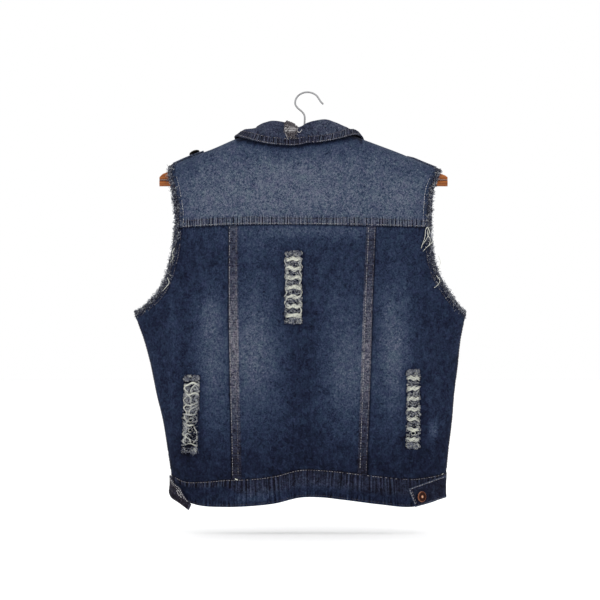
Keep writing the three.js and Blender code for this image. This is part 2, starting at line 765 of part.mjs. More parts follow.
function collar() {
  const columns = fractions(30);
  const under = -COLLAR_WITHIN;
  const over = TAB_WALL - COLLAR_WITHIN;
  const geometry = wall({ place: collarPlace, columns, rows: COLLAR_ROWS, under, over, free: true });
  add('collar', geometry, MATERIALS.faded);
}

// Distressed places: bars of bared threads over the cloth

function ladderPlace(ladder) {
  return (u, v) => {
    const x = mix(ladder.x[0], ladder.x[1], v) + (0.5 - u) * ladder.width;
    const down = mix(ladder.down[0], ladder.down[1], v);
    return onFace(1, turnOf(x, down), down);
  };
}

// Rows between the rungs and the windows. The first and the last rung reach the ends.
function ladderRows(rungs) {
  const middles = fractions(rungs - 1).map((t) => mix(FIRST_RUNG, LAST_RUNG, t));
  const edges = middles.flatMap((v) => [v - RUNG_HALF, v + RUNG_HALF]);
  return [0, ...edges.slice(1, -1), 1];
}

function ladderSolid(ladder) {
  const under = CLOTH / 2 + SEAM_GAP;
  return wall({
    place: ladderPlace(ladder),
    columns: [0, 0.12, 0.5, 0.88, 1],
    rows: ladderRows(ladder.rungs),
    under,
    over: under + THREADS,
    keep: (i, j) => j % 2 === 0 || i === 0 || i === 3,
  });
}

// The hole that goes right through the cloth behind one window of a ladder
function ripCutter(ladder, rip) {
  const at = ladderPlace(ladder)(0.5, rip);
  const cutter = new THREE.CylinderGeometry(0.5, 0.5, 12, 10);
  cutter.scale(RIP_GAP.across, 1, RIP_GAP.high);
  cutter.translate(at.x, at.y, at.z);
  return cutter;
}

function collarFray() {
  const from = 7;
  const to = 25;
  const span = COLLAR[COLLAR.length - 1].turn - COLLAR[0].turn;
  const place = (u, v) => collarPlace((mix(from, to, u) - COLLAR[0].turn) / span, mix(0.42, 0.9, v));
  const under = TAB_WALL - COLLAR_WITHIN + FRAY_LIFT;
  const geometry = wall({
    place,
    columns: [0, 0.12, 0.5, 0.88, 1],
    rows: fractions(7),
    under,
    over: under + THREADS,
    keep: (i, j) => j % 2 === 0 || i === 0 || i === 3,
    free: true,
  });
  add('collar_fray', geometry, MATERIALS.fray);
}

// Frayed armhole edges: a narrow strip beside the cut edge with one strand to each step

// Even stations from the pit up the back, over the shoulder and down the front. Each has
// the point on the cut edge, and the cloth's outward direction there.
function armholeStations(side) {
  const sign = side === 'left' ? 1 : -1;
  const edgeAt = (run) => overShoulder(1, (down) => outerTurn(side, down), run);
  const longest = runTo(sign * halfWidth(sign, ARMPIT_DOWN), ARMPIT_DOWN);
  const samples = fractions(SAMPLES).map((t) => longest * Math.sin(Math.PI * (0.5 - t)));
  const lengths = [0];
  for (let i = 1; i < samples.length; i += 1) {
    lengths.push(lengths[i - 1] + edgeAt(samples[i]).distanceTo(edgeAt(samples[i - 1])));
  }
  const total = lengths[lengths.length - 1];
  const stations = [];
  let i = 1;
  for (let k = 0; k < STRANDS; k += 1) {
    const target = (total * (k + 0.5)) / STRANDS;
    while (lengths[i] < target) i += 1;
    const part = (target - lengths[i - 1]) / (lengths[i] - lengths[i - 1]);
    const run = mix(samples[i - 1], samples[i], part);
    const at = edgeAt(run);
    stations.push({ at, out: bodyOut(at) });
  }
  return stations;
}

function armholeFringe(side) {
  const sign = side === 'left' ? 1 : -1;
  const stations = armholeStations(side);
  const points = [];
  const faces = [];
  const quad = (a, b, c, d) => faces.push([a, b, c], [a, c, d]);
  stations.forEach(({ at, out }, i) => {
    const next = stations[(i + 1) % STRANDS].at;
    const before = stations[(i + STRANDS - 1) % STRANDS].at;
    const tangent = next.clone().sub(before).normalize();
    const away = new THREE.Vector3().crossVectors(out, tangent).normalize().multiplyScalar(sign);
    for (const [reach, height] of [[0, -0.5], [STRIP_WIDTH, -0.5], [STRIP_WIDTH, 0.5], [0, 0.5]]) {
      const corner = at.clone().addScaledVector(away, FRAY_GAP + reach);
      points.push(corner.addScaledVector(out, height * STRIP_WALL));
    }
  });
  const corner = (i, k) => 4 * (i % STRANDS) + k;
  for (let i = 0; i < STRANDS; i += 1) {
    quad(corner(i, 0), corner(i, 1), corner(i + 1, 1), corner(i + 1, 0));
    quad(corner(i, 2), corner(i, 3), corner(i + 1, 3), corner(i + 1, 2));
    quad(corner(i, 3), corner(i, 0), corner(i + 1, 0), corner(i + 1, 3));
    strand(i, points, quad, faces, [corner(i, 1), corner(i, 2), corner(i + 1, 2), corner(i + 1, 1)]);
  }
  add(`armhole_fray_${side}`, solid(points, faces), MATERIALS.fray);
}

// A strand that grows out of one step of the strip, narrows fast and bends to its tip
function strand(index, points, quad, faces, root) {
  const [a, b, c, d] = root.map((k) => points[k]);
  const middle = a.clone().add(b).add(c).add(d).multiplyScalar(0.25);
  const step = d.clone().sub(a);
  const stepLength = step.length();
  const side = step.clone().normalize();
  const thick = b.clone().sub(a).normalize();
  const away = new THREE.Vector3().crossVectors(side, thick).normalize();
  const inner = points[root[0] - 1].clone();
  if (away.dot(middle.clone().sub(inner)) < 0) away.negate();
  const nearPit = ease((ARMPIT_DOWN - 4 + middle.z) / 25);
  const narrow = Math.min(1, stepLength / 5) * mix(0.4, 1, nearPit);
  const length = STRAND_LENGTH * (1 + 0.3 * uneven(index, 1)) * narrow;
  const bend = 1.6 * uneven(index, 2) * narrow;
  const lift = 2 * uneven(index, 3) * narrow;
  const waist = middle.clone().addScaledVector(away, length * 0.4).addScaledVector(side, bend * 0.3);
  const tip = middle.clone().addScaledVector(away, length).addScaledVector(side, bend);
  tip.addScaledVector(thick, lift);
  const ring = [[-0.18, -0.35], [-0.18, 0.35], [0.18, 0.35], [0.18, -0.35]].map(([s, t]) => {
    points.push(waist.clone().addScaledVector(side, s * stepLength).addScaledVector(thick, t));
    return points.length - 1;
  });
  points.push(tip);
  const end = points.length - 1;
  for (let k = 0; k < 4; k += 1) {
    const next = (k + 1) % 4;
    quad(root[k], root[next], ring[next], ring[k]);
    faces.push([ring[k], ring[next], end]);
  }
}

// Buttons

function buttonGeometry() {
  const head = [[BUTTON_RADIUS - 0.5, 2.2], [BUTTON_RADIUS, 3.2], [BUTTON_RADIUS - 2, 4.4], [0, 4.9]];
  const outline = [[0, 0], [3, 0], [3, 2], ...head];
  return new THREE.LatheGeometry(outline.map(([r, h]) => new THREE.Vector2(r, h)), 12);
}

function button(name, at, direction, seat) {
  const mesh = add(name, buttonGeometry(), MATERIALS.button);
  mesh.position.copy(at).addScaledVector(direction, seat);
  mesh.quaternion.setFromUnitVectors(new THREE.Vector3(0, 1, 0), direction);
}

function buttons() {
  const overPlacket = CLOTH / 2 + SEAM_GAP + TAB_WALL + SEAM_GAP;
  const ahead = new THREE.Vector3(0, -1, 0);
  FRONT_BUTTONS_DOWN.forEach((down, i) => {
    button(`front_button_${i + 1}`, onFace(-1, turnOf(CLOSING.middle, down), down), ahead, overPlacket);
  });
  const overBand = TWO_PLY + TAB_GAP + BAND_FACE;
  const bandAt = onFace(-1, turnOf(CLOSING.middle, BAND_BUTTON_DOWN), BAND_BUTTON_DOWN);
  button('waistband_button', bandAt, ahead, overBand);
  for (const tab of SHOULDER_TABS) {
    const spot = placeOver(...tab.button);
    button(tab.name.replace('tab', 'button'), spot, bodyOut(spot), overPlacket + HALF_GAP);
  }
  const tabSpot = buttonedTabPlace(0.82, 0.54);
  const leaning = bodyOut(tabSpot).add(new THREE.Vector3(-BUTTON_LEAN, 0, 0)).normalize();
  button('waist_button_right', tabSpot, leaning, BAND_FACE + TAB_WALL + SEAM_GAP + LEAN_LIFT);
}

// Hanger

function hangerArms() {
  const inset = HANGER.bevel;
  const armTop = (x) => -(crest(x) + HANGER.clearOfCrest);
  const left = HANGER.middle + HANGER.tip;
  const right = HANGER.middle - HANGER.tip;
  const rootHigh = 30;
  const outline = [
    [HANGER.middle + 14, -HANGER.neckTop],
    [52, armTop(70)],
    [80, armTop(80) - 1.5],
    ...[110, 140, 165, 185].map((x) => [x, armTop(x)]),
    [205, -118],
    [left - 5, -125],
    [left, -130],
    [left, -HANGER.endBottom],
    [190, -HANGER.endBottom],
    [150, armTop(150) - 18],
    [100, armTop(100) - 24],
    [HANGER.middle + 20, -HANGER.neckTop - rootHigh],
    [HANGER.middle - 20, -HANGER.neckTop - rootHigh],
    [-100, armTop(-100) - 22],
    [-145, armTop(-145) - 16],
    [-185, -HANGER.endBottom],
    [right, -HANGER.endBottom],
    [right, -130],
    [right + 4, -127],
    [-197, -121],
    ...[-180, -160, -135, -105, -80].map((x) => [x, armTop(x)]),
    [-50, armTop(-62)],
    [HANGER.middle - 14, -HANGER.neckTop],
  ];
  const shape = new THREE.Shape(outline.map(([x, z]) => new THREE.Vector2(x, z)));
  const geometry = new THREE.ExtrudeGeometry(shape, {
    depth: HANGER.thick - 2 * inset,
    bevelThickness: inset,
    bevelSize: inset,
    bevelOffset: -inset,
    bevelSegments: 2,
  });
  geometry.rotateX(QUARTER_TURN);
  geometry.translate(0, HANGER.thick / 2 - inset, 0);
  add('hanger_arms', geometry, MATERIALS.wood);
}

function hangerBar() {
  const geometry = new THREE.CylinderGeometry(0.5, 0.5, 2 * HANGER.tip, 14);
  geometry.scale(HANGER.barDeep, 1, HANGER.barHigh);
  geometry.rotateZ(QUARTER_TURN);
  const middleDown = HANGER.endBottom + SEAM_GAP + HANGER.barHigh / 2;
  geometry.translate(HANGER.middle, 0, -middleDown);
  add('hanger_bar', geometry, MATERIALS.wood);
}

// Wire hook: a loop of an oval, open to the right, a bend at the neck and a straight stem
function hangerHook() {
  const middleX = -1.5;
  const middleZ = WIRE_RADIUS - HOOK_HALF_HEIGHT;
  const loop = fractions(8).map((t) => {
    const angle = THREE.MathUtils.degToRad(mix(22, 188, t));
    return [middleX - HOOK_HALF_WIDTH * Math.cos(angle), middleZ + HOOK_HALF_HEIGHT * Math.sin(angle)];
  });
  const tip = [[-26, -17.2], [-22.2, -13.4]];
  const stemEnd = [HANGER.middle, -HANGER.neckTop + SEAM_GAP];
  const stem = [[14.6, -21.8], [5.4, -30.4], [3, -35.2], [3, -46], stemEnd];
  const points = [...tip, ...loop, ...stem].map(([x, z]) => new THREE.Vector3(x, 0, z));
  const path = new THREE.CatmullRomCurve3(points, false, 'centripetal');
  const round = new THREE.Shape();
  round.absarc(0, 0, WIRE_RADIUS, 0, 2 * Math.PI);
  const bend = { steps: 40, curveSegments: 4, extrudePath: path };
  const geometry = new THREE.ExtrudeGeometry(round, bend);
  add('hanger_hook', geometry, MATERIALS.wire);
}

backYoke();
backCentrePanel();
backSidePanel('left');
backSidePanel('right');
frontPanel('left');
frontPanel('right');
plackets();
waistband();
buttonedTab();
looseTab();
collar();
collarFray();
LADDERS.forEach((ladder) => add(ladder.name, ladderSolid(ladder), MATERIALS.fray));
shoulderTabs();
armholeFringe('left');
armholeFringe('right');
buttons();
hangerArms();
hangerBar();
hangerHook();

export default vest;
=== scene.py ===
# Looks of a denim vest on a wooden hanger, seen from the back.
# Sizes are in millimetres until a mesh is made. "down" is a depth below the hook's seat.
import math

import bpy
import numpy as np
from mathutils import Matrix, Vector


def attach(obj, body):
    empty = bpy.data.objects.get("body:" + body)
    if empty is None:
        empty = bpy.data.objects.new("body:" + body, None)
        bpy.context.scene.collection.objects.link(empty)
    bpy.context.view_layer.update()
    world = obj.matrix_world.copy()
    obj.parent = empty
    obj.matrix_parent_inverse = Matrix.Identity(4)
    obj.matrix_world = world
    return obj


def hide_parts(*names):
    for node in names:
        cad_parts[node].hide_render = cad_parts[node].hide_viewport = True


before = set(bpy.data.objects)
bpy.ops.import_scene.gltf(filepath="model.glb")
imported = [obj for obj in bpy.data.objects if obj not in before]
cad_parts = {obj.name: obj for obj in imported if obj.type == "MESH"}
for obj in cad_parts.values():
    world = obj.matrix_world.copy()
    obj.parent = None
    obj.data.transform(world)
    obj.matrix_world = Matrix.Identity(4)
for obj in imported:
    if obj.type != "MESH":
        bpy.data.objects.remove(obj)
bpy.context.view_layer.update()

# Cloth
CLOTH = 1.4
TWO_PLY = 2.6
TAB_WALL = 2.4
SEAM_GAP = 0.3
HALF_GAP = SEAM_GAP / 2
BAND_TUCK = 1.2
TAB_GAP = 0.4
FELL_WIDTH = 14
FELL_HEIGHT = 0.8
CAP_DROP = 28
CAP_RUN = 40
SHOULDER_SEAM_RUN = -11
QUARTER_TURN = math.pi / 2

# Each side's sign across, and its column in the tables
SIDES = {"left": 1, "right": -1}
COLUMN = {"left": 1, "right": 2}

# Half widths to the left and right, and half depth: down, left, right, depth
BODY = np.array([
    (60, 236, 224, 31), (130, 240, 227, 34), (230, 250, 233, 37), (343, 264, 245, 40),
    (356, 259, 242, 40), (381, 250, 237, 40), (418, 240, 233, 39), (467, 230, 227, 38),
    (504, 221, 224, 38), (554, 213, 218, 39), (590, 208, 215, 40), (640, 206, 214, 42),
])
# Shoulder line: distance across, depth on the left, depth on the right
CREST = np.array([
    (0, 41, 41), (40, 47, 53), (76, 59, 68), (108, 71, 80), (145, 87, 94), (183, 101, 110),
    (216, 116, 123),
])
ARMPIT_DOWN = 344
# Cut edge of the armholes: down, left, right
ARMHOLE = np.array([
    (112, 206, 202), (124, 207, 199), (147, 202, 190), (172, 198, 187), (196, 196, 186),
    (221, 198, 186), (246, 201, 189), (270, 207, 194), (295, 215, 205), (307, 222, 213),
    (320, 232, 222), (332, 245, 231), (340, 256, 239), (ARMPIT_DOWN, 264, 245),
])
TIP_DOWN = ARMHOLE[0, 0]
# Seams and hems: place across, down, and the height of the waistband
YOKE_SEAM = np.array([(-200, 208), (-107, 206), (0, 204), (123, 205), (205, 209)])
HEM_BACK = np.array([
    (-217, 622, 36.5), (-190, 632, 41), (-162, 638, 44), (-113, 634, 44), (-60, 627, 43.5),
    (-20, 622.5, 43), (10, 623, 43.5), (48, 632, 43), (87, 636.5, 42.5), (125, 638, 42.5),
    (164, 636, 37), (187, 629.5, 31), (209, 622, 35),
])
HEM_FRONT = np.array([
    (-217, 622, 36.5), (-150, 632, 42), (-60, 625, 42), (10, 622, 42), (70, 631, 42),
    (150, 632, 38), (209, 622, 35),
])
# Long seams of the back: down, left, right
LONG_SEAMS = np.array([
    (205, 120, -107), (320, 120, -102), (450, 118, -98), (530, 116, -95), (640, 114, -91),
])
BAND_HEIGHT = 40
BAND_MIDDLE_DOWN = 620
BAND_TOP_DOWN = 590
YOKE_SEAM_DOWN = 206
RIPPLE = 3
RIPPLE_STARTS = 440
RIPPLE_FULL = 620
NECK_MIDDLE = 5
NECK_HALF_WIDTH = 76
NECK_BACK_RUN = 53
NECK_FRONT_RUN = 95
CLOSE_MIDDLE = 5
CLOSE_UNDER_EDGE = 20
CLOSE_OVER_LEFT = 24
CLOSE_OVER_RIGHT = -12
CLOSE_UNDER_RIGHT = -16
FRONT_EDGE = {"left": float(CLOSE_UNDER_EDGE), "right": float(CLOSE_UNDER_RIGHT)}
PLACKET_WIDE = 36
BAND_RAMP = 22
FRONT_BUTTONS_DOWN = (168, 258, 348, 438, 528)
BAND_BUTTON_DOWN = 613

# Collar sections: turn, rise, inset, edge across, edge run
COLLAR = np.array([
    (-174, 13, -3, -52, -128), (-150, 13, -3, -72, -92), (-120, 11, -1, -86, -50),
    (-90, 8, 3, -86, -12), (-75, 9, 4, -77, 3), (-60, 13, 3, -61, 20), (-40, 24, 2, -41, 33),
    (-26, 30, 0, -24, 40), (-12, 27, 0, -8, 46), (5, 17, 0, 12, 50), (20, 23, 0, 32, 48),
    (38, 23, 1, 58, 39), (52, 17, 3, 77, 30), (70, 9, 4, 99, 15), (90, 6, 3, 109, -6),
    (120, 11, -1, 97, -46), (150, 13, -3, 82, -92), (174, 13, -3, 62, -128),
])
COLLAR_SEAM_INSET = 2.6
COLLAR_WITHIN = 0.1
FOLD_HALF = 3
FOLD_SIDES_DOWN = 3.6
FALL_LIFT = 3.4
FALL_BULGE = 4.3
COLLAR_SPAN = COLLAR[-1, 0] - COLLAR[0, 0]

# Worn ladders: name, top across, bottom across, top down, bottom down, width, rungs, rips
LADDERS = (
    ("ladder_centre", 20, 20, 246, 356, 25, 7, ()),
    ("ladder_left", 176, 180, 437, 556, 23, 7, (0.57, 0.70)),
    ("ladder_right", -164, -164, 428, 548, 20, 7, (0.805,)),
)
FIRST_RUNG = 0.10
LAST_RUNG = 0.885
RIP_ACROSS = 5.5
RIP_HIGH = 4.5
RIP_CLEAR = 0.42

# Grid steps of the shells, and the length of the back's panels that they divide
FINE = 1.7
MEDIUM = 2.1
COARSE = 4.0
BACK_LONG = 385

# Sewing and loose threads
LINE_POINTS = 420
STITCH_LONG = 3.0
STITCH_RISE = 0.35
STITCH_DIP = -0.15
FRINGE_POINTS = 6
THREAD_SIDES = 3
# Three-sided threads are this much wider, so that they look as thick as round ones
THREAD_SWELL = 1.25

# Soft creases: face, across and down at each end, half width, depth. Plus is a ridge.
CREASES = (
    (1, 160, 250, 205, 330, 9, -1.6),
    (1, 214, 330, 196, 470, 8, 1.5),
    (1, 232, 345, 214, 420, 7, -1.7),
    (1, 190, 360, 182, 430, 10, -1.1),
    (1, 150, 470, 190, 590, 12, 1.3),
    (1, 100, 540, 112, 592, 9, -1.4),
    (1, 66, 520, 70, 592, 10, 1.5),
    (1, 30, 540, 22, 586, 11, -1.6),
    (1, -14, 500, -30, 580, 13, 1.7),
    (1, -62, 530, -55, 586, 9, -1.3),
    (1, -125, 480, -140, 590, 12, 1.2),
    (1, -180, 340, -196, 470, 9, 1.6),
    (1, -215, 350, -205, 430, 7, -1.5),
    (1, -168, 250, -192, 320, 10, -1.5),
    (1, -30, 250, -70, 420, 22, -1.2),
    (1, 60, 260, 40, 470, 24, 1.3),
    (1, 150, 112, 190, 180, 13, -1.2),
    (1, -150, 120, -178, 190, 13, -1.2),
    (1, 80, 96, 120, 170, 18, 1.1),
    (1, -80, 100, -60, 190, 20, 1.0),
    (1, 20, 120, 10, 195, 26, -1.0),
    (-1, 170, 150, 130, 320, 16, -1.8),
    (-1, 205, 330, 150, 470, 14, 1.9),
    (-1, 225, 350, 190, 440, 9, -1.8),
    (-1, 110, 240, 90, 450, 20, 1.6),
    (-1, 60, 300, 70, 560, 18, -1.7),
    (-1, 150, 480, 165, 590, 13, 1.6),
    (-1, -160, 150, -120, 330, 16, -1.8),
    (-1, -200, 330, -150, 470, 14, 1.9),
    (-1, -215, 350, -190, 450, 9, -1.7),
    (-1, -100, 230, -85, 440, 20, 1.6),
    (-1, -60, 320, -66, 560, 18, -1.7),
    (-1, -140, 470, -165, 590, 13, 1.6),
)

# Worn places, paler where the strength is plus and darker where it is minus: face, across, down, half across,
# half down, strength
WEAR_AND_SHADE = (
    (1, 20, 152, 150, 44, 0.17),
    (1, 60, 182, 110, 26, 0.045),
    (1, 150, 165, 40, 40, 0.075),
    (1, -150, 170, 36, 40, 0.055),
    (1, -80, 190, 30, 14, 0.05),
    # Painted shade: the yoke darker just under the collar.
    (1, 0, 88, 110, 24, -0.14),
    (1, -170, 118, 40, 20, -0.07),
    (1, 185, 112, 22, 24, -0.06),
    (1, 200, 170, 14, 60, -0.08),
    (1, -196, 180, 14, 60, -0.14),
    (1, 75, 228, 60, 18, 0.08),
    (1, 0, 112, 100, 20, 0.08),
    (1, -150, 150, 45, 50, 0.07),
    (1, 178, 122, 8, 34, -0.08),
    (1, -150, 262, 40, 40, 0.04),
    (1, 40, 214, 90, 9, 0.16),
    (1, -60, 214, 60, 12, 0.13),
    (1, 84, 390, 34, 84, 0.36),
    (1, 70, 430, 50, 70, 0.06),
    (1, 148, 380, 22, 76, 0.37),
    (1, 140, 470, 26, 60, 0.13),
    (1, 146, 336, 22, 18, 0.10),
    (1, -62, 430, 34, 80, 0.295),
    (1, -60, 370, 26, 60, 0.06),
    (1, -134, 400, 26, 96, 0.41),
    (1, -128, 330, 24, 50, 0.06),
    (1, -195.5, 521, 7, 11, 0.26),
    (1, -191, 517, 2, 12, 0.12),
    (1, -199.5, 515, 2, 11, 0.12),
    (1, -194.5, 546, 2.4, 16, 0.12),
    (1, 4, 440, 26, 110, -0.10),
    (1, 205, 380, 10, 60, 0.05),
    (1, 112, 520, 60, 60, 0.04),
    (-1, 90, 180, 60, 70, 0.22),
    (-1, -84, 180, 60, 70, 0.22),
    (-1, 110, 380, 44, 110, 0.24),
    (-1, -104, 380, 44, 110, 0.24),
    (-1, 190, 330, 26, 60, 0.08),
    (-1, -186, 330, 26, 60, 0.08),
)

# The cloth's colours from deep dye to worn white, in sRGB, each with its place on the scale
DENIM_SCALE = (
    (0.00, (8, 10, 22)),
    (0.20, (25, 32, 52)),
    (0.40, (43, 55, 78)),
    (0.60, (62, 74, 95)),
    (0.80, (82, 92, 110)),
    (1.00, (108, 116, 130)),
)

# Colours are darkened by this, since the white room lights them up, and the denim's by less
LIGHT = 0.78
DENIM_LIFT = 1.055

RNG = np.random.default_rng(5)


def mix(a, b, t):
    return a + (b - a) * t


def ease(value):
    t = np.clip(value, 0, 1)
    return t * t * (3 - 2 * t)


def along(table, column, at):
    """A table's column read along a smooth curve through its rows."""
    keys = table[:, 0].astype(float)
    values = table[:, column].astype(float)
    at = np.clip(at, keys[0], keys[-1])
    i = np.clip(np.searchsorted(keys, at, side="right") - 1, 0, len(keys) - 2)
    slopes = np.diff(values) / np.diff(keys)
    here = slopes[i]
    before = np.where(i > 0, (slopes[np.maximum(i - 1, 0)] + here) / 2, here)
    after = np.where(i < len(keys) - 2, (slopes[np.minimum(i + 1, len(keys) - 2)] + here) / 2, here)
    span = keys[i + 1] - keys[i]
    t = (at - keys[i]) / span
    start = values[i] * (1 + 2 * t) * (1 - t) ** 2 + before * span * t * (1 - t) ** 2
    return start + values[i + 1] * t * t * (3 - 2 * t) + after * span * t * t * (t - 1)


def half_width(signed, down):
    return np.where(np.asarray(signed) >= 0, along(BODY, 1, down), along(BODY, 2, down))


def half_depth(down):
    return along(BODY, 3, down)


def placed_x(turn, down):
    return half_width(turn, down) * np.sin(turn)


def crest(x):
    return np.where(np.asarray(x) >= 0, along(CREST, 1, np.abs(x)), along(CREST, 2, np.abs(x)))


def turn_of(x, down):
    return np.arcsin(np.clip(x / half_width(x, down), -1, 1))


def cap_angle(run):
    return np.clip(run / CAP_RUN, -1, 1) * QUARTER_TURN


def fall_at(run):
    return CAP_DROP * (1 - np.cos(cap_angle(run))) + np.maximum(0, np.abs(run) - CAP_RUN)


def run_to(x, down):
    return CAP_RUN + (down - crest(x) - CAP_DROP)


def ripple(turn, down):
    grown = ease((down - RIPPLE_STARTS) / (RIPPLE_FULL - RIPPLE_STARTS))
    return RIPPLE * grown * np.cos(turn) * np.cos(5 * turn)


def on_face(face, turn, down, reach=1.0):
    x = placed_x(turn, down)
    y = face * (half_depth(down) * np.cos(turn) + ripple(turn, down)) * reach
    return np.stack(np.broadcast_arrays(x, y, -np.asarray(down, float)), axis=-1)


def over_shoulder(face, turn_at, run):
    down = -SHOULDER_SEAM_RUN + CAP_DROP + np.abs(run)
    for _ in range(6):
        turn = turn_at(down)
        down = crest(placed_x(turn, down)) + fall_at(run)
    return on_face(face, turn_at(down), down, np.sin(cap_angle(run)))


def place_over(x, run):
    return over_shoulder(1, lambda down: turn_of(x, down), run)


def outer_turn(side, down):
    sign = SIDES[side]
    limit = QUARTER_TURN + 0.5 * HALF_GAP / half_depth(down)
    edge = along(ARMHOLE, COLUMN[side], down)
    arm = np.minimum(np.abs(turn_of(sign * edge, down)), limit)
    return sign * np.where(down < ARMPIT_DOWN, arm, limit)


def unit(vectors):
    return vectors / np.maximum(np.linalg.norm(vectors, axis=-1, keepdims=True), 1e-9)


def grid_out(place, u, v):
    step = 1e-4
    du = place(u + step, v) - place(u - step, v)
    dv = place(u, v + step) - place(u, v - step)
    return unit(np.cross(du, dv))


def body_out(at):
    """The body's outward direction at points on it."""
    x, y, down = at[..., 0], at[..., 1], -at[..., 2]
    turn = turn_of(x, down)
    fall = np.maximum(0, down - crest(x))
    cap = np.arccos(1 - np.minimum(fall, CAP_DROP) / CAP_DROP) / QUARTER_TURN
    run = (cap * CAP_RUN + np.maximum(0, fall - CAP_DROP)) * np.where(y < 0, -1, 1)

    def near(u, v):
        return over_shoulder(1, lambda depth: turn + u, run + v)

    out = grid_out(near, 0.0, 0.0)
    inside = np.stack([x * 0.2, y, np.full_like(x, 30.0)], axis=-1)
    return np.where((out * inside).sum(-1, keepdims=True) < 0, -out, out)


def catmull(points, t):
    """A centripetal curve through the points of axis -2, at one place t."""
    last = points.shape[-2] - 1
    where = np.clip(t, 0, 1) * last
    i = int(min(math.floor(where), last - 1))
    w = where - i
    p1, p2 = points[..., i, :], points[..., i + 1, :]
    p0 = points[..., i - 1, :] if i > 0 else 2 * points[..., 0, :] - points[..., 1, :]
    p3 = points[..., i + 2, :] if i + 2 <= last else 2 * p2 - p1
    d0, d1, d2 = [
        np.maximum(((b - a) ** 2).sum(-1, keepdims=True), 1e-8) ** 0.25
        for a, b in ((p0, p1), (p1, p2), (p2, p3))
    ]
    t1 = ((p1 - p0) / d0 - (p2 - p0) / (d0 + d1) + (p2 - p1) / d1) * d1
    t2 = ((p2 - p1) / d1 - (p3 - p1) / (d1 + d2) + (p3 - p2) / d2) * d1
    c2 = -3 * p1 + 3 * p2 - 2 * t1 - t2
    c3 = 2 * p1 - 2 * p2 + t1 + t2
    return p1 + t1 * w + c2 * w * w + c3 * w ** 3


def reach_of(points):
    """How far each point of a line is from its start, along the line."""
    return np.concatenate([[0], np.cumsum(np.linalg.norm(np.diff(points, axis=0), axis=1))])


def at_reach(places, reach, values):
    return np.stack([np.interp(places, reach, values[:, k]) for k in range(3)], axis=-1)


# Meshes


def place_object(name, data):
    placed = bpy.data.objects.new(name, data)
    bpy.context.scene.collection.objects.link(placed)
    return placed


def mesh_piece(name, points, faces, attributes, material, nodes=()):
    """A mesh piece in metres that rides on the body and stands for CAD nodes."""
    mesh = bpy.data.meshes.new(name)
    mesh.from_pydata((np.asarray(points) * 0.001).tolist(), [], faces)
    for key, values in attributes.items():
        layer = mesh.attributes.new(key, "FLOAT", "POINT")
        layer.data.foreach_set("value", np.asarray(values, np.float32))
    mesh.polygons.foreach_set("use_smooth", [True] * len(mesh.polygons))
    mesh.materials.append(material)
    piece = place_object(name, mesh)
    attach(piece, "root")
    if nodes:
        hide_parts(*nodes)
    return piece


def crease_height(face, x, down):
    """Height of the listed creases at points of one face."""
    total = np.zeros_like(x)
    for side, x1, down1, x2, down2, half, depth in CREASES:
        if side != face:
            continue
        dx, dd = x2 - x1, down2 - down1
        t = ((x - x1) * dx + (down - down1) * dd) / (dx * dx + dd * dd)
        near = np.clip(t, 0, 1)
        bow = 4 * near * (1 - near) * half * 0.5
        away = np.hypot(x - x1 - near * dx - bow, down - down1 - near * dd)
        total += depth * np.exp(-(away / half) ** 2) * (0.55 + 0.45 * np.sin(math.pi * near))
    return total


def wear_and_shade_at(face, x, down):
    total = np.zeros_like(x)
    for side, cx, cd, half_x, half_d, strength in WEAR_AND_SHADE:
        if side == face:
            total += strength * np.exp(-((x - cx) / half_x) ** 2 - ((down - cd) / half_d) ** 2)
    return total


def steps(length, size):
    """Places from 0 to 1, about one size apart over a length."""
    return np.linspace(0, 1, max(2, int(round(length / size)) + 1))


def shell_faces(high, kept, flip):
    """Faces of a closed wall over a grid whose outer points come first."""
    wide_cells, high_cells = kept.shape
    count = (wide_cells + 1) * (high_cells + 1)
    i, j = np.nonzero(kept)

    def quads(a, b, c, d):
        face = np.stack([a, b, c, d], axis=1)
        return face[:, ::-1] if flip else face

    def outer(ii, jj):
        return ii * high + jj

    def inner(ii, jj):
        return outer(ii, jj) + count

    found = [
        quads(outer(i, j), outer(i + 1, j), outer(i + 1, j + 1), outer(i, j + 1)),
        quads(inner(i, j + 1), inner(i + 1, j + 1), inner(i + 1, j), inner(i, j)),
    ]
    framed = np.zeros((wide_cells + 2, high_cells + 2), bool)
    framed[1:-1, 1:-1] = kept
    edges = (
        (0, -1, (0, 0), (1, 0)),
        (0, 1, (1, 1), (0, 1)),
        (-1, 0, (0, 1), (0, 0)),
        (1, 0, (1, 0), (1, 1)),
    )
    for di, dj, (ai, aj), (bi, bj) in edges:
        open_edge = ~framed[i + 1 + di, j + 1 + dj]
        ei, ej = i[open_edge], j[open_edge]
        first, last = (ei + ai, ej + aj), (ei + bi, ej + bj)
        found.append(quads(inner(*first), inner(*last), outer(*last), outer(*first)))
    return np.concatenate(found)


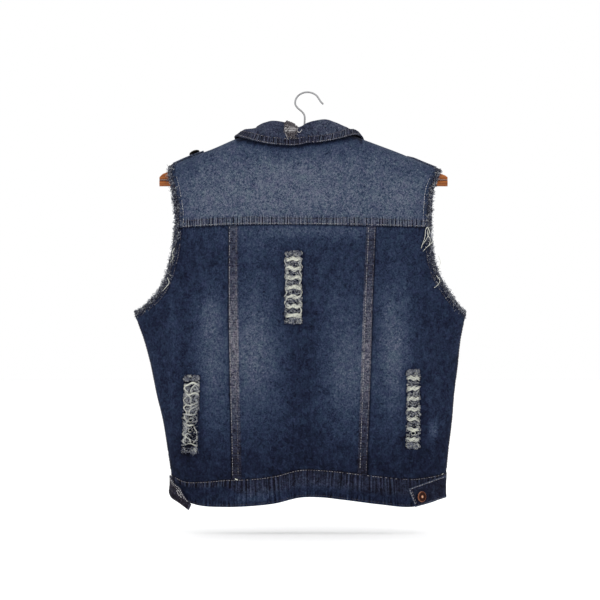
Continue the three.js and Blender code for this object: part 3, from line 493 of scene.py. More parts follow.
def shell(name, nodes, surface, columns, rows, looks, keep=None):
    """A closed cloth wall. surface(u, v) gives points, directions, and the height of both
    faces; looks(u, v, points) gives the attributes and keep(u, v) the cells that stay."""
    u, v = np.meshgrid(columns, rows, indexing="ij")
    at, out, under, over = surface(u, v)
    outer = at + out * np.asarray(over)[..., None]
    inner = at + out * np.asarray(under)[..., None]
    kept = np.ones((len(columns) - 1, len(rows) - 1), bool)
    if keep is not None:
        kept = keep((u[1:, 1:] + u[:-1, :-1]) / 2, (v[1:, 1:] + v[:-1, :-1]) / 2)
    a, b = outer[1:, :-1] - outer[:-1, :-1], outer[:-1, 1:] - outer[:-1, :-1]
    flip = bool((np.cross(a, b) * out[:-1, :-1]).sum() < 0)
    faces = shell_faces(len(rows), kept, flip)
    points = np.concatenate([outer.reshape(-1, 3), inner.reshape(-1, 3)])
    used = np.unique(faces)
    renumber = np.full(len(points), -1)
    renumber[used] = np.arange(len(used))
    attributes = {}
    for key, value in looks(u, v, at).items():
        attributes[key] = np.tile(np.broadcast_to(value, u.shape).ravel(), 2)[used]
    return mesh_piece(name, points[used], renumber[faces].tolist(), attributes, DENIM, nodes)


def tubes(name, paths, radius, sides, attributes, material, slot, nodes=()):
    """Thin threads: paths is (threads, points, 3); radius is one for each thread and point."""
    count, length, _ = paths.shape
    radius = np.broadcast_to(radius, (count, length))
    ahead = np.empty_like(paths)
    ahead[:, 1:-1] = paths[:, 2:] - paths[:, :-2]
    ahead[:, 0] = paths[:, 1] - paths[:, 0]
    ahead[:, -1] = paths[:, -1] - paths[:, -2]
    ahead = unit(ahead)
    guide = np.where(np.abs(ahead[..., 1:2]) > 0.9, np.array([1.0, 0, 0]), np.array([0, 1.0, 0]))
    across = unit(np.cross(ahead, guide))
    other = np.cross(ahead, across)
    angles = np.arange(sides) * 2 * math.pi / sides
    ring = across[:, :, None] * np.cos(angles)[:, None] + other[:, :, None] * np.sin(angles)[:, None]
    points = paths[:, :, None] + ring * radius[:, :, None, None]
    base = (np.arange(count) * length * sides)[:, None, None]
    i = np.arange(length - 1)[None, :, None] * sides
    k = np.arange(sides)[None, None, :]
    k2 = (k + 1) % sides
    corners = np.broadcast_arrays(base + i + k2, base + i + k, base + i + sides + k, base + i + sides + k2)
    faces = np.stack(corners, -1).reshape(-1, 4).tolist()
    first = base[:, 0, :] + np.arange(sides)[None]
    faces += first.tolist()
    faces += (first + (length - 1) * sides)[:, ::-1].tolist()
    spread = {}
    for key, value in attributes.items():
        each = np.broadcast_to(np.asarray(value).reshape(count, -1), (count, length))
        spread[key] = np.repeat(each.ravel(), sides)
    return mesh_piece(name, points.reshape(-1, 3), faces, spread, material, nodes)


# Materials


def linear(rgb):
    """The linear light of an sRGB colour."""
    return tuple(((c / 255 + 0.055) / 1.055) ** 2.4 if c > 10 else c / 255 / 12.92 for c in rgb)


def tones(marks, lift=1.0):
    """A ramp's stops from places and sRGB colours."""
    return [(place, (*[c * LIGHT * lift for c in linear(rgb)], 1.0)) for place, rgb in marks]


class Nodes:
    """Short names for building a material's nodes."""

    def __init__(self, name):
        self.material = bpy.data.materials.new(name)
        self.material.use_nodes = True
        self.tree = self.material.node_tree

    def feed(self, node, inputs):
        """Sets inputs to values, or joins them to other nodes."""
        for key, value in inputs.items():
            if isinstance(value, (int, float, tuple)):
                node.inputs[key].default_value = value
            else:
                self.tree.links.new(value, node.inputs[key])

    def add(self, kind, inputs, **settings):
        node = self.tree.nodes.new(kind)
        for key, value in settings.items():
            setattr(node, key, value)
        self.feed(node, inputs)
        return node

    def math(self, operation, a, b, clamp=False):
        return self.add("ShaderNodeMath", {0: a, 1: b}, operation=operation, use_clamp=clamp).outputs[0]

    def swing(self, source, amount):
        """A noise that goes as far below zero as above it."""
        return self.math("MULTIPLY", self.math("SUBTRACT", source, 0.5), amount)

    def coords(self, scale=(1, 1, 1)):
        place = self.add("ShaderNodeTexCoord", {}).outputs["Object"]
        return self.add("ShaderNodeMapping", {"Vector": place, "Scale": scale}).outputs[0]

    def noise(self, scale, detail=2.0, roughness=0.5, distortion=0.0):
        inputs = {"Vector": self.coords(scale), "Scale": 1.0, "Detail": detail}
        inputs.update(Roughness=roughness, Distortion=distortion)
        return self.add("ShaderNodeTexNoise", inputs).outputs[0]

    def attribute(self, name):
        return self.add("ShaderNodeAttribute", {}, attribute_name=name).outputs["Fac"]

    def ramp(self, value, stops):
        node = self.add("ShaderNodeValToRGB", {0: value})
        elements = node.color_ramp.elements
        while len(elements) < len(stops):
            elements.new(0.5)
        for element, (place, rgb) in zip(elements, stops):
            element.position = place
            element.color = rgb
        return node.outputs[0]

    def blend(self, share, a, b, kind="MIX"):
        inputs = {0: share, 6: a, 7: b}
        return self.add("ShaderNodeMix", inputs, data_type="RGBA", blend_type=kind).outputs[2]

    def bump(self, height, strength, distance, before=None):
        node = self.add("ShaderNodeBump", {"Height": height, "Strength": strength, "Distance": distance})
        if before is not None:
            self.feed(node, {"Normal": before})
        return node.outputs[0]

    def surface(self, **inputs):
        """Sets the surface's own inputs and gives the material."""
        named = {key.replace("_", " "): value for key, value in inputs.items()}
        self.feed(self.tree.nodes["Principled BSDF"], named)
        return self.material


def denim_material():
    """Worn indigo cloth. The first attribute, how much dye is gone, is lowered in places by painted shade and
    shadow; "seam" marks puckered edges,
    "along" is the place along them and "brown" the tint of rubbed seams."""
    n = Nodes("denim")
    fade, seam, brown = [n.attribute(name) for name in ("fade", "seam", "brown")]
    patches = n.noise((70, 70, 55), 3.0, 0.55)
    mottle = n.noise((170, 170, 150), 3.0, 0.72, 1.2)
    slub = n.noise((620, 620, 42), 2.0, 0.6)
    grain = n.noise((430, 430, 400), 1.5, 0.7, 1.2)
    hue = n.noise((110, 110, 100), 2.0, 0.6, 0.8)
    speck = n.math("ADD", n.math("MULTIPLY", fade, 3.5), n.math("MULTIPLY", brown, 2.2))
    speck = n.math("MAXIMUM", n.math("SUBTRACT", speck, 0.42), 0.2)
    total = fade
    for source, amount in ((patches, 0.34), (mottle, 0.70), (slub, 0.14), (grain, speck)):
        total = n.math("ADD", total, n.swing(source, amount))
    place = n.math("MULTIPLY", n.attribute("along"), 0.52)
    ribs = n.add("ShaderNodeTexNoise", {}, noise_dimensions="1D")
    n.feed(ribs, {"W": place, "Scale": 1.0, "Detail": 2.5})
    ridge = n.math("SUBTRACT", ribs.outputs[0], 0.52)
    contrast = n.math("MULTIPLY", n.math("MULTIPLY", ridge, n.math("ADD", mottle, 1.2)), seam)
    total = n.math("ADD", total, contrast, clamp=True)
    rubbed = n.math("MULTIPLY", brown, n.math("ADD", mottle, 0.25), clamp=True)
    worn = n.ramp(total, tones(((0.0, (42, 36, 40)), (0.5, (88, 82, 88)), (1.0, (158, 150, 148)))))
    dyed = n.blend(rubbed, n.ramp(total, tones(DENIM_SCALE, DENIM_LIFT)), worn)
    tint = n.ramp(hue, [(0.3, (1.0, 0.90, 0.98, 1.0)), (0.7, (0.91, 0.97, 0.94, 1.0))])
    waves = {"Vector": n.coords(), "Scale": 330.0, "Distortion": 1.2, "Detail": 1.0}
    twill = n.add("ShaderNodeTexWave", waves, wave_type="BANDS", bands_direction="DIAGONAL")
    weave = n.bump(twill.outputs[0], 0.35, 0.0003)
    nap = n.bump(mottle, 0.5, 0.0006, weave)
    return n.surface(
        Base_Color=n.blend(1.0, dyed, tint, "MULTIPLY"), Normal=n.bump(contrast, 0.6, 0.0012, nap),
        Roughness=0.95, Sheen_Weight=0.03, Sheen_Roughness=0.5, Specular_IOR_Level=0.04,
    )


def thread_material(name, marks):
    """Cotton thread whose "shade" runs over the marks."""
    n = Nodes(name)
    grain = n.swing(n.noise((900, 900, 900)), 0.5)
    value = n.math("ADD", n.attribute("shade"), grain, clamp=True)
    return n.surface(
        Base_Color=n.ramp(value, tones(marks)), Normal=n.bump(n.noise((2500, 2500, 2500), 1.0), 0.4, 0.0003),
        Roughness=0.95, Sheen_Weight=0.1, Specular_IOR_Level=0.15,
    )


def metal_material(name, dark, mid, bright, roughness, wear):
    """Aged metal. The attribute read here is how far a place is rubbed bright; on a button's boss it also
    paints a highlight.
    """
    n = Nodes(name)
    stain = n.noise((420, 420, 420), 3.0, 0.6)
    shine = n.math("ADD", n.attribute("polish"), n.swing(stain, 0.7), clamp=True)
    return n.surface(
        Base_Color=n.ramp(shine, tones(((0.1, dark), (0.5, mid), (0.9, bright)))),
        Normal=n.bump(n.noise((1400, 1400, 1400)), 0.15, 0.0002), Metallic=0.9,
        Roughness=n.math("ADD", n.math("MULTIPLY", stain, wear), roughness, clamp=True),
    )


def wood_material():
    n = Nodes("hanger_wood")
    rings = n.noise((14, 300, 300), 4.0, 0.6)
    pores = n.noise((90, 1400, 1400))
    value = n.math("ADD", rings, n.swing(pores, 0.25))
    marks = ((0.32, (102, 52, 24)), (0.5, (160, 90, 42)), (0.68, (194, 118, 56)))
    return n.surface(
        Base_Color=n.ramp(value, tones(marks)), Normal=n.bump(pores, 0.15, 0.0003),
        Roughness=0.55, Coat_Weight=0.05, Coat_Roughness=0.3, Specular_IOR_Level=0.2,
    )


DENIM = denim_material()
STITCH = thread_material("stitching", (
    (0.0, (46, 38, 44)), (0.3, (92, 86, 92)), (0.6, (158, 155, 158)), (1.0, (222, 220, 220)),
))
FRAY = thread_material("loose_threads", (
    (0.0, (20, 23, 38)), (0.3, (76, 80, 102)), (0.6, (146, 150, 162)), (1.0, (244, 245, 232)),
))
COPPER = metal_material("copper", (50, 26, 20), (120, 66, 42), (224, 176, 146), 0.28, 0.3)
DARK_METAL = metal_material("dark_metal", (30, 28, 28), (74, 70, 66), (168, 160, 150), 0.28, 0.3)
STEEL = metal_material("wire_steel", (120, 120, 122), (168, 168, 170), (205, 205, 208), 0.2, 0.25)
WOOD = wood_material()


# Panels: each surface(u, v) gives points, directions and the heights of both faces


def mask_edge(distance, width, soft=2.0):
    """1 within a width of an edge, with a soft end."""
    return 1 - ease((distance - width) / soft)


def body_looks(face, base, x, down, seam=0.0, along_at=0.0, brown=0.0):
    fade = base + wear_and_shade_at(face, x, down)
    return {"fade": fade, "seam": seam, "along": along_at, "brown": brown}


def puckers(along_at, mask, height, kind):
    """Small uneven ribs across an edge."""
    wave = np.sin(along_at * 1.02 + 1.3 * np.sin(along_at * 0.21 + kind))
    slow = 0.6 + 0.4 * np.sin(along_at * 0.37 + 2 * kind)
    return height * mask * slow * wave


def yoke_across(u, down):
    return mix(outer_turn("right", down), outer_turn("left", down), u)


def neck_run(x, length):
    off = np.clip((x - NECK_MIDDLE) / NECK_HALF_WIDTH, -1, 1)
    return SHOULDER_SEAM_RUN + length * np.sqrt(1 - off * off)


def yoke_place(u, v):
    top = neck_run(placed_x(yoke_across(u, TIP_DOWN), TIP_DOWN), NECK_BACK_RUN)
    seam_x = placed_x(yoke_across(u, YOKE_SEAM_DOWN), YOKE_SEAM_DOWN)
    bottom = run_to(seam_x, along(YOKE_SEAM, 1, seam_x) - HALF_GAP)
    return over_shoulder(1, lambda down: yoke_across(u, down), mix(top, bottom, v))


def seam_distance(at):
    """How far a point is above the yoke seam."""
    return along(YOKE_SEAM, 1, at[..., 0]) + at[..., 2]


def yoke_surface(u, v):
    at = yoke_place(u, v)
    out = body_out(at)
    x, down = at[..., 0], -at[..., 2]
    above = seam_distance(at)
    on_back = at[..., 1] > 0
    fell = mask_edge(above, FELL_WIDTH - 1.2, 1.6) * on_back
    rise = crease_height(1, x, down) * on_back * ease((down - 70) / 40) * ease((above - 4) / 30)
    ribs = puckers(x, fell, 0.35, 1.0)
    return at, out, -CLOTH / 2 + rise, CLOTH / 2 + rise + FELL_HEIGHT * fell + ribs


def collar_painted_shadow(at):
    """Painted shadow: the dark line on the yoke close under the collar's edge."""
    back = COLLAR[(COLLAR[:, 0] >= -90) & (COLLAR[:, 0] <= 90)]
    edge = place_over(back[:, 3], back[:, 4])
    order = np.argsort(edge[:, 0])
    line = np.interp(at[..., 0], edge[order, 0], -edge[order, 2])
    inside = (at[..., 0] > edge[:, 0].min()) & (at[..., 0] < edge[:, 0].max()) & (at[..., 1] > 0)
    return inside * np.exp(-((-at[..., 2] - line - 1.0) / 5.0) ** 2)


def yoke():
    low, high = outer_turn("right", TIP_DOWN), outer_turn("left", TIP_DOWN)
    neck_x = [NECK_MIDDLE - NECK_HALF_WIDTH, NECK_MIDDLE + NECK_HALF_WIDTH]
    corners = [float((turn_of(np.float64(x), TIP_DOWN) - low) / (high - low)) for x in neck_x]
    columns = np.unique(np.concatenate([steps(430, FINE), corners]))

    def looks(u, v, at):
        x, down = at[..., 0], -at[..., 2]
        above = seam_distance(at)
        arm = np.minimum(u, 1 - u) * 400
        seam = mask_edge(above, 8, 9) * (at[..., 1] > 0)
        stay = mask_edge(arm, 8.4, 1) * (1 - seam)
        rim = np.exp(-((arm - 9.6) / 1.0) ** 2) - 0.5 * np.exp(-((arm - 11.8) / 1.2) ** 2)
        base = 0.60 - 0.05 * seam - 0.24 * mask_edge(above, 1.0, 1.2) - 0.17 * stay + 0.12 * rim
        # Painted shadow under the collar darkens the yoke here.
        base = base - 0.1 * (at[..., 1] < 0) - 0.42 * collar_painted_shadow(at)
        return body_looks(1, base, x, down, 2.1 * seam, 0.95 * x, 0.16 * seam)

    return shell("yoke_cloth", ["back_yoke"], yoke_surface, columns, steps(165, MEDIUM), looks)


def band_top(hem, x):
    return along(hem, 1, x) - along(hem, 2, x)


def above_band(hem, x):
    return band_top(hem, x) + BAND_TUCK


def back_place(inner_turn, outer):
    def place(u, v):
        def x_at(down):
            return placed_x(mix(inner_turn(down), outer(down), u), down)

        top = along(YOKE_SEAM, 1, x_at(float(YOKE_SEAM_DOWN) + 0 * u)) + HALF_GAP
        bottom = above_band(HEM_BACK, x_at(float(BAND_TOP_DOWN) + 0 * u))
        down = mix(top, bottom, v)
        return on_face(1, mix(inner_turn(down), outer(down), u), down)

    return place


def seam_turn(side, down, shift):
    return turn_of(along(LONG_SEAMS, COLUMN[side], down) + shift, down)


def centre_place(u, v):
    place = back_place(lambda d: seam_turn("right", d, HALF_GAP), lambda d: seam_turn("left", d, -HALF_GAP))
    return place(u, v)


def long_seam_distances(at):
    x, down = at[..., 0], -at[..., 2]
    return along(LONG_SEAMS, 1, down) - x, x - along(LONG_SEAMS, 2, down)


def centre_surface(u, v):
    at = centre_place(u, v)
    out = body_out(at)
    x, down = at[..., 0], -at[..., 2]
    left, right = long_seam_distances(at)
    fell = np.maximum(mask_edge(left, FELL_WIDTH - 1.4, 1.4), mask_edge(right, FELL_WIDTH - 1.4, 1.4))
    free = ease(-seam_distance(at) / 30)
    rise = crease_height(1, x, down) * free * ease(np.minimum(left, right) / 40)
    ribs = puckers(down, fell, 0.22, 2.0)
    return at, out, -CLOTH / 2 + rise, CLOTH / 2 + rise + FELL_HEIGHT * fell + ribs


def centre():
    def looks(u, v, at):
        x, down = at[..., 0], -at[..., 2]
        left, right = long_seam_distances(at)
        near = np.minimum(left, right)
        seam = mask_edge(near, FELL_WIDTH, 1.6)
        # Painted shade: dark lines along the long seams, at the seam's edge and just beyond the fell's far
        # edge.
        line = mask_edge(near, 1.0, 0.8) + 0.3 * np.exp(-((near - FELL_WIDTH - 1) / 1.2) ** 2)
        below = -seam_distance(at)
        top = np.exp(-(below / 9) ** 2)
        dark = 0.13 * ease((down - 470) / 120)
        rubbed = np.exp(-((down - 380) / 110) ** 2)
        base = 0.32 - dark - 0.20 * line + seam * (0.20 * rubbed - 0.04)
        base = base + 0.16 * rubbed * np.exp(-((near - FELL_WIDTH + 0.4) / 0.9) ** 2)
        # Painted shade behind the ladders is taken off here too.
        # Painted shadow: a dark line just under the yoke seam.
        base = base - 0.20 * mask_edge(below, 1.4, 1.6) - ladder_painted_shade(x, down)
        brown = seam * (0.32 + 0.18 * rubbed)
        ribbed = np.maximum(0.45 * seam, 0.35 * top)
        return body_looks(1, base, x, down, ribbed, np.where(seam > 0.3, 1.5 * down, x), brown)

    columns, rows = steps(224, FINE), steps(BACK_LONG, 2.5)
    return shell("centre_cloth", ["back_centre_panel"], centre_surface, columns, rows, looks)


def side_place(side):
    return back_place(lambda d: seam_turn(side, d, SIDES[side] * HALF_GAP), lambda d: outer_turn(side, d))


def side_surface(side):
    place = side_place(side)

    def surface(u, v):
        at = place(u, v)
        out = body_out(at)
        x, down = at[..., 0], -at[..., 2]
        free = ease(-seam_distance(at) / 30) * ease((1 - u) / 0.12) * ease(u / 0.12)
        rise = crease_height(1, x, down) * free
        return at, out, -CLOTH / 2 + rise, CLOTH / 2 + rise

    return surface


def ladder_point(ladder, u, v):
    _, top_x, low_x, top, low, width, _, _ = ladder
    x = mix(top_x, low_x, v) + (0.5 - u) * width
    down = mix(top, low, v)
    return on_face(1, turn_of(x, down), down)


def ladder_painted_shade(x, down):
    """Painted shade: how much darker the cloth is behind the ladders' bared threads, and a wider darkening
    round them.
    """
    total = np.zeros_like(x)
    for _, top_x, low_x, top, low, width, _, _ in LADDERS:
        v = np.clip((down - top) / (low - top), 0, 1)
        aside = np.maximum(np.abs(x - mix(top_x, low_x, v)) - width / 2, 0)
        above = np.maximum(np.maximum(top - down, down - low), 0)
        away = np.hypot(aside, above)
        total += 0.18 * mask_edge(away, 0, 2.5) + 0.07 * np.exp(-(away / 9) ** 2)
    return total


def back_side(side):
    place = side_place(side)
    ladder = next(one for one in LADDERS if one[0] == "ladder_" + side)

    def keep(u, v):
        """Leaves out the cells of the rips."""
        at = place(u, v)
        kept = np.ones(u.shape, bool)
        for rip in ladder[-1]:
            hole = ladder_point(ladder, 0.5, rip)
            aside = (at[..., 0] - hole[0]) / (RIP_ACROSS / 2)
            kept &= np.hypot(aside, (at[..., 2] - hole[2]) / (RIP_HIGH / 2)) >= 1
        return kept

    def looks(u, v, at):
        x, down = at[..., 0], -at[..., 2]
        below = -seam_distance(at)
        top = np.exp(-(below / 8) ** 2)
        edge = (1 - u) * (110 + 40 * ease((down - 250) / 100))
        # Painted shadow: a dark line just under the yoke seam.
        base = 0.262 - 0.09 * ease((down - 480) / 110) - 0.18 * mask_edge(below, 1.4, 1.6)
        base = base - 0.12 * mask_edge(u * 120, 0.8, 1.2) - 0.06 * mask_edge(edge, 10, 4)
        # Painted shade behind the ladders is taken off here.
        base = base - ladder_painted_shade(x, down)
        return body_looks(1, base, x, down, 0.3 * top, x, 0.0)

    columns, rows = steps(125, MEDIUM), steps(BACK_LONG, MEDIUM)
    return shell("side_cloth_" + side, ["back_side_" + side], side_surface(side), columns, rows, looks, keep)


def front_place(side):
    def place(u, v):
        def across(down):
            return mix(turn_of(FRONT_EDGE[side], down), outer_turn(side, down), u)

        def x_at(down):
            return placed_x(across(down), down)

        top = -neck_run(x_at(float(TIP_DOWN) + 0 * u), -NECK_FRONT_RUN) + SEAM_GAP
        band_x = x_at(float(BAND_TOP_DOWN) + 0 * u)
        bottom = run_to(band_x, above_band(HEM_FRONT, band_x))
        return over_shoulder(-1, across, mix(top, bottom, v))

    return place


def front_surface(side):
    place = front_place(side)

    def surface(u, v):
        at = place(u, v)
        out = body_out(at)
        x, down = at[..., 0], -at[..., 2]
        free = ease(u / 0.25) * ease((1 - u) / 0.1) * ease((down - 110) / 60) * ease((596 - down) / 20)
        rise = crease_height(-1, x, down) * free
        return at, out, -CLOTH / 2 + rise, CLOTH / 2 + rise

    return surface


def front(side):
    low, high = turn_of(FRONT_EDGE[side], TIP_DOWN), outer_turn(side, TIP_DOWN)
    neck_turn = turn_of(float(NECK_MIDDLE + SIDES[side] * NECK_HALF_WIDTH), TIP_DOWN)
    corner = float((neck_turn - low) / (high - low))
    columns, rows = np.unique(np.append(steps(215, COARSE), corner)), steps(540, COARSE)

    def looks(u, v, at):
        x, down = at[..., 0], -at[..., 2]
        edge = (1 - u) * 190
        seam = np.maximum(mask_edge(v * 520, 6, 3) * (u > corner), 0.5 * mask_edge(edge, 5, 3))
        base = 0.26 - 0.12 * ease((down - 470) / 120) - 0.06 * mask_edge(edge, 9, 3)
        return body_looks(-1, base, x, down, 0.5 * seam, np.where(v < 0.05, x, down), 0.0)

    return shell("front_cloth_" + side, ["front_" + side], front_surface(side), columns, rows, looks)


def placket_place(from_x, to_x):
    def place(u, v):
        x = mix(from_x, to_x, u)
        top = crest(x) + fall_at(-neck_run(x, -NECK_FRONT_RUN) + SEAM_GAP)
        down = mix(top, above_band(HEM_FRONT, x), v)
        return on_face(-1, turn_of(x, down), down)

    return place


def placket_rim(u):
    """How far a place is from the nearer long edge of a placket."""
    return np.minimum(u, 1 - u) * PLACKET_WIDE


def placket_surface(side):
    if side == "right":
        place = placket_place(CLOSE_UNDER_RIGHT + SEAM_GAP, CLOSE_UNDER_EDGE - SEAM_GAP)
        under, over = -CLOTH / 2, CLOTH / 2
    else:
        place = placket_place(float(CLOSE_OVER_RIGHT), float(CLOSE_OVER_LEFT))
        under, over = CLOTH / 2 + SEAM_GAP, CLOTH / 2 + SEAM_GAP + TAB_WALL

    def surface(u, v):
        at = place(u, v)
        ribs = puckers(-at[..., 2], mask_edge(placket_rim(u), 5, 3), 0.18, 3.0)
        return at, body_out(at), under + 0 * u, over + ribs

    return surface


def placket(side):
    def looks(u, v, at):
        x, down = at[..., 0], -at[..., 2]
        edge = mask_edge(placket_rim(u), 6, 2)
        base = 0.30 + 0.12 * mask_edge(placket_rim(u), 1.2, 1.5) - 0.1 * ease((down - 470) / 120)
        return body_looks(-1, base, x, down, 0.6 * edge, down, 0.25 * edge)

    columns, rows = steps(PLACKET_WIDE, FINE), steps(470, 2.8)
    return shell("placket_cloth_" + side, ["placket_" + side], placket_surface(side), columns, rows, looks)


def band_place(face, hem, from_turn, to_turn, lift=None):
    def place(u, v):
        turn = mix(from_turn, to_turn, u)
        x = placed_x(turn, float(BAND_MIDDLE_DOWN) + 0 * u)
        down = mix(band_top(hem, x), along(hem, 1, x), v)
        at = on_face(face, turn, down)
        if lift is not None:
            at[..., 1] += face * lift(x)
        return at

    return place


SIDE_TURN = QUARTER_TURN + HALF_GAP / float(half_depth(float(BAND_MIDDLE_DOWN)))


def band_lift(x):
    return (TWO_PLY + TAB_GAP) * ease((CLOSE_UNDER_EDGE + 4 + BAND_RAMP - x) / BAND_RAMP)


def band_turn(x):
    return float(turn_of(float(x), float(BAND_MIDDLE_DOWN)))


# Each band's place and its length
BANDS = {
    "waistband_back": (band_place(1, HEM_BACK, -SIDE_TURN, SIDE_TURN), 440),
    "waistband_front_right": (band_place(-1, HEM_FRONT, -SIDE_TURN, band_turn(CLOSE_UNDER_EDGE)), 240),
    "waistband_front_left": (
        band_place(-1, HEM_FRONT, band_turn(CLOSE_OVER_RIGHT), SIDE_TURN, band_lift), 230
    ),
}


def band_surface(node):
    place = BANDS[node][0]

    def surface(u, v):
        at = place(u, v)
        x = at[..., 0]
        top = mask_edge(v * BAND_HEIGHT, 8, 5)
        low = mask_edge((1 - v) * BAND_HEIGHT, 6, 4)
        ribs = puckers(x + 5 * v, top, 0.5, 4.0) + puckers(x - 9 * v, low, 0.4, 5.0)
        slow = 0.5 * np.sin(x * 0.11 + 3 * v) * np.sin(math.pi * v)
        return at, body_out(at), -TWO_PLY / 2 + slow, TWO_PLY / 2 + slow + ribs

    return surface


def band(node):
    def looks(u, v, at):
        x, down = at[..., 0], -at[..., 2]
        long_ribs = 9 * ease((130 - x) / 40)
        top = mask_edge(v * BAND_HEIGHT, 8 + long_ribs, 4 + long_ribs)
        low = mask_edge((1 - v) * BAND_HEIGHT, 5, 8)
        edge = mask_edge((1 - v) * BAND_HEIGHT, 1.2, 1.4)
        streaks = np.exp(-((v - 0.68) / 0.24) ** 2) * np.exp(-((x - 78) / 45) ** 2)
        streaks = streaks + 0.7 * np.exp(-((v - 0.5) / 0.22) ** 2 - ((x + 10) / 60) ** 2)
        base = 0.205 + 0.10 * edge + 0.15 * streaks - 0.16 * mask_edge(v * BAND_HEIGHT, 1.0, 1.2)
        seam = np.maximum(mix(0.95, 0.6, ease((130 - x) / 40)) * top, 0.4 * np.maximum(low, streaks))
        bend = x + 3 * v * np.sin(x / 30)
        return body_looks(0, base, x, down, seam, 0.55 * bend, 0.2 * top)

    columns, rows = steps(BANDS[node][1], FINE), steps(BAND_HEIGHT, FINE)
    return shell(node + "_cloth", [node], band_surface(node), columns, rows, looks)


# Tabs

BAND_FACE = TWO_PLY / 2 + SEAM_GAP
TAB_LONG = 48
# The two long edges of the buttoned tab and of the loose one
BUTTONED_TOP = np.array([(-212.5, 590), (-156, 610)])
BUTTONED_BOTTOM = np.array([(-212.5, 624), (-167, 638)])
LOOSE_NEAR = np.array([
    (210.6, 4, -590), (203.5, 15, -602), (194.5, 22, -609.5), (188.5, 27, -621), (177.5, 33, -634),
])
LOOSE_FAR = np.array([
    (210.9, 1.5, -611), (211, 12, -617.5), (207.5, 20, -624.5), (196, 26, -632), (181, 29, -642.5),
])


def tab_rim(u, v, wide):
    """How far a place is from the nearest sewn edge of a tab."""
    return np.minimum(np.minimum(v, 1 - v) * wide, (1 - u) * TAB_LONG)


def buttoned_place(u, v):
    x, down = [
        mix(mix(*BUTTONED_TOP[:, k], u), mix(*BUTTONED_BOTTOM[:, k], u), v) for k in (0, 1)
    ]
    return on_face(1, turn_of(x, down), down)


def buttoned_surface(u, v):
    at = buttoned_place(u, v)
    edge = mask_edge(tab_rim(u, v, 30), 3.4, 2)
    bow = 0.8 * np.sin(math.pi * u) * np.sin(math.pi * v)
    return at, body_out(at), BAND_FACE + 0 * u, BAND_FACE + TAB_WALL - 0.3 + 0.45 * edge + bow


def tab_looks(base, brown=0.15):
    def looks(u, v, at):
        x, down = at[..., 0], -at[..., 2]
        near = tab_rim(u, v, 30)
        worn = mask_edge(near, 1.2, 1.2)
        hem = mask_edge(near, 5, 2)
        return body_looks(0, base + 0.34 * worn + 0 * u, x, down, 0.3 * hem, x + down, brown)

    return looks


def buttoned_tab():
    columns, rows = steps(50, 1.3), steps(30, 1.3)
    looks = tab_looks(0.16)
    return shell("waist_tab_cloth_right", ["waist_tab_right"], buttoned_surface, columns, rows, looks)


def loose_place(u, v):
    u, v = np.broadcast_arrays(u, v)
    edges = (LOOSE_NEAR, LOOSE_FAR)
    near, far = [np.array([catmull(edge, t) for t in u.ravel()]).reshape(*u.shape, 3) for edge in edges]
    return mix(near, far, v[..., None])


def loose_surface(u, v):
    at = loose_place(u, v)
    out = -grid_out(loose_place, np.clip(u, 0.001, 0.999), v)
    edge = mask_edge(tab_rim(u, v, 20), 3, 2)
    return at, out, -TAB_WALL / 2 - 0.0 * u, TAB_WALL / 2 - 0.3 + 0.4 * edge


def loose_tab():
    columns, rows = steps(50, 1.5), steps(20, 1.5)
    looks = tab_looks(0.08, 0.6)
    return shell("waist_tab_cloth_left", ["waist_tab_left"], loose_surface, columns, rows, looks)


# Shoulder tabs: side, across at both ends, run of the middle, half width, and the button's place
SHOULDER_TABS = (
    ("left", 205.0, 158.0, -9.0, 13.0, (171.0, -9.0)),
    ("right", -200.0, -155.0, -15.0, 13.0, (-167.0, -20.0)),
)


def shoulder_tab(tab):
    side, root, end, middle, half, _ = tab

    def place(u, v):
        narrowing = 1 - 0.45 * ease((u - 0.7) / 0.3)
        return place_over(mix(root, end, u), middle + half * narrowing * (2 * v - 1))

    def surface(u, v):
        at = place(u, v)
        edge = mask_edge(tab_rim(u, v, 24), 3, 2)
        base = CLOTH / 2 + SEAM_GAP
        return at, body_out(at), base + 0 * u, base + TAB_WALL - 0.3 + 0.4 * edge

    name, nodes = "shoulder_tab_cloth_" + side, ["shoulder_tab_" + side]
    return shell(name, nodes, surface, steps(48, 1.5), steps(26, 1.5), tab_looks(0.26))


# Collar


def neck_point(angle, share=1.0):
    """A point on the neck's edge, or that share of the way out to it."""
    length = np.where(np.cos(angle) > 0, NECK_BACK_RUN, NECK_FRONT_RUN)
    x = NECK_MIDDLE + share * NECK_HALF_WIDTH * np.sin(angle)
    return place_over(x, SHOULDER_SEAM_RUN + share * length * np.cos(angle))


def into_neck(angle):
    return unit(neck_point(angle, 0.96) - neck_point(angle))


def collar_turn(u):
    return mix(COLLAR[0, 0], COLLAR[-1, 0], u)


def collar_points(turn):
    """The six points of the collar's section at turns in degrees."""
    angle = np.radians(turn)
    ahead = np.maximum(0, np.abs(turn) - 60) / 120
    facing = np.radians(turn + np.sign(turn) * 30 * np.sin(math.pi * ahead))
    outward = np.stack([np.sin(facing), np.cos(facing), 0 * facing], axis=-1)
    up = np.array([0.0, 0, 1])
    rise, inset, edge_x, edge_run = [along(COLLAR, k, turn) for k in (1, 2, 3, 4)]
    seam = neck_point(angle) + into_neck(angle) * COLLAR_SEAM_INSET
    fold = neck_point(angle) + up * rise[..., None] - outward * inset[..., None]
    beside = fold - up * FOLD_SIDES_DOWN
    on_cloth = place_over(edge_x, edge_run)
    away = body_out(on_cloth)
    edge = on_cloth + away * FALL_LIFT
    outside = beside + outward * FOLD_HALF
    bulge = (outside + edge) / 2 + away * FALL_BULGE
    return np.stack([seam, beside - outward * FOLD_HALF, fold, outside, bulge, edge], axis=-2)


def collar_grid(columns, rows):
    points = collar_points(collar_turn(columns))
    return np.stack([catmull(points, t) for t in rows], axis=1)


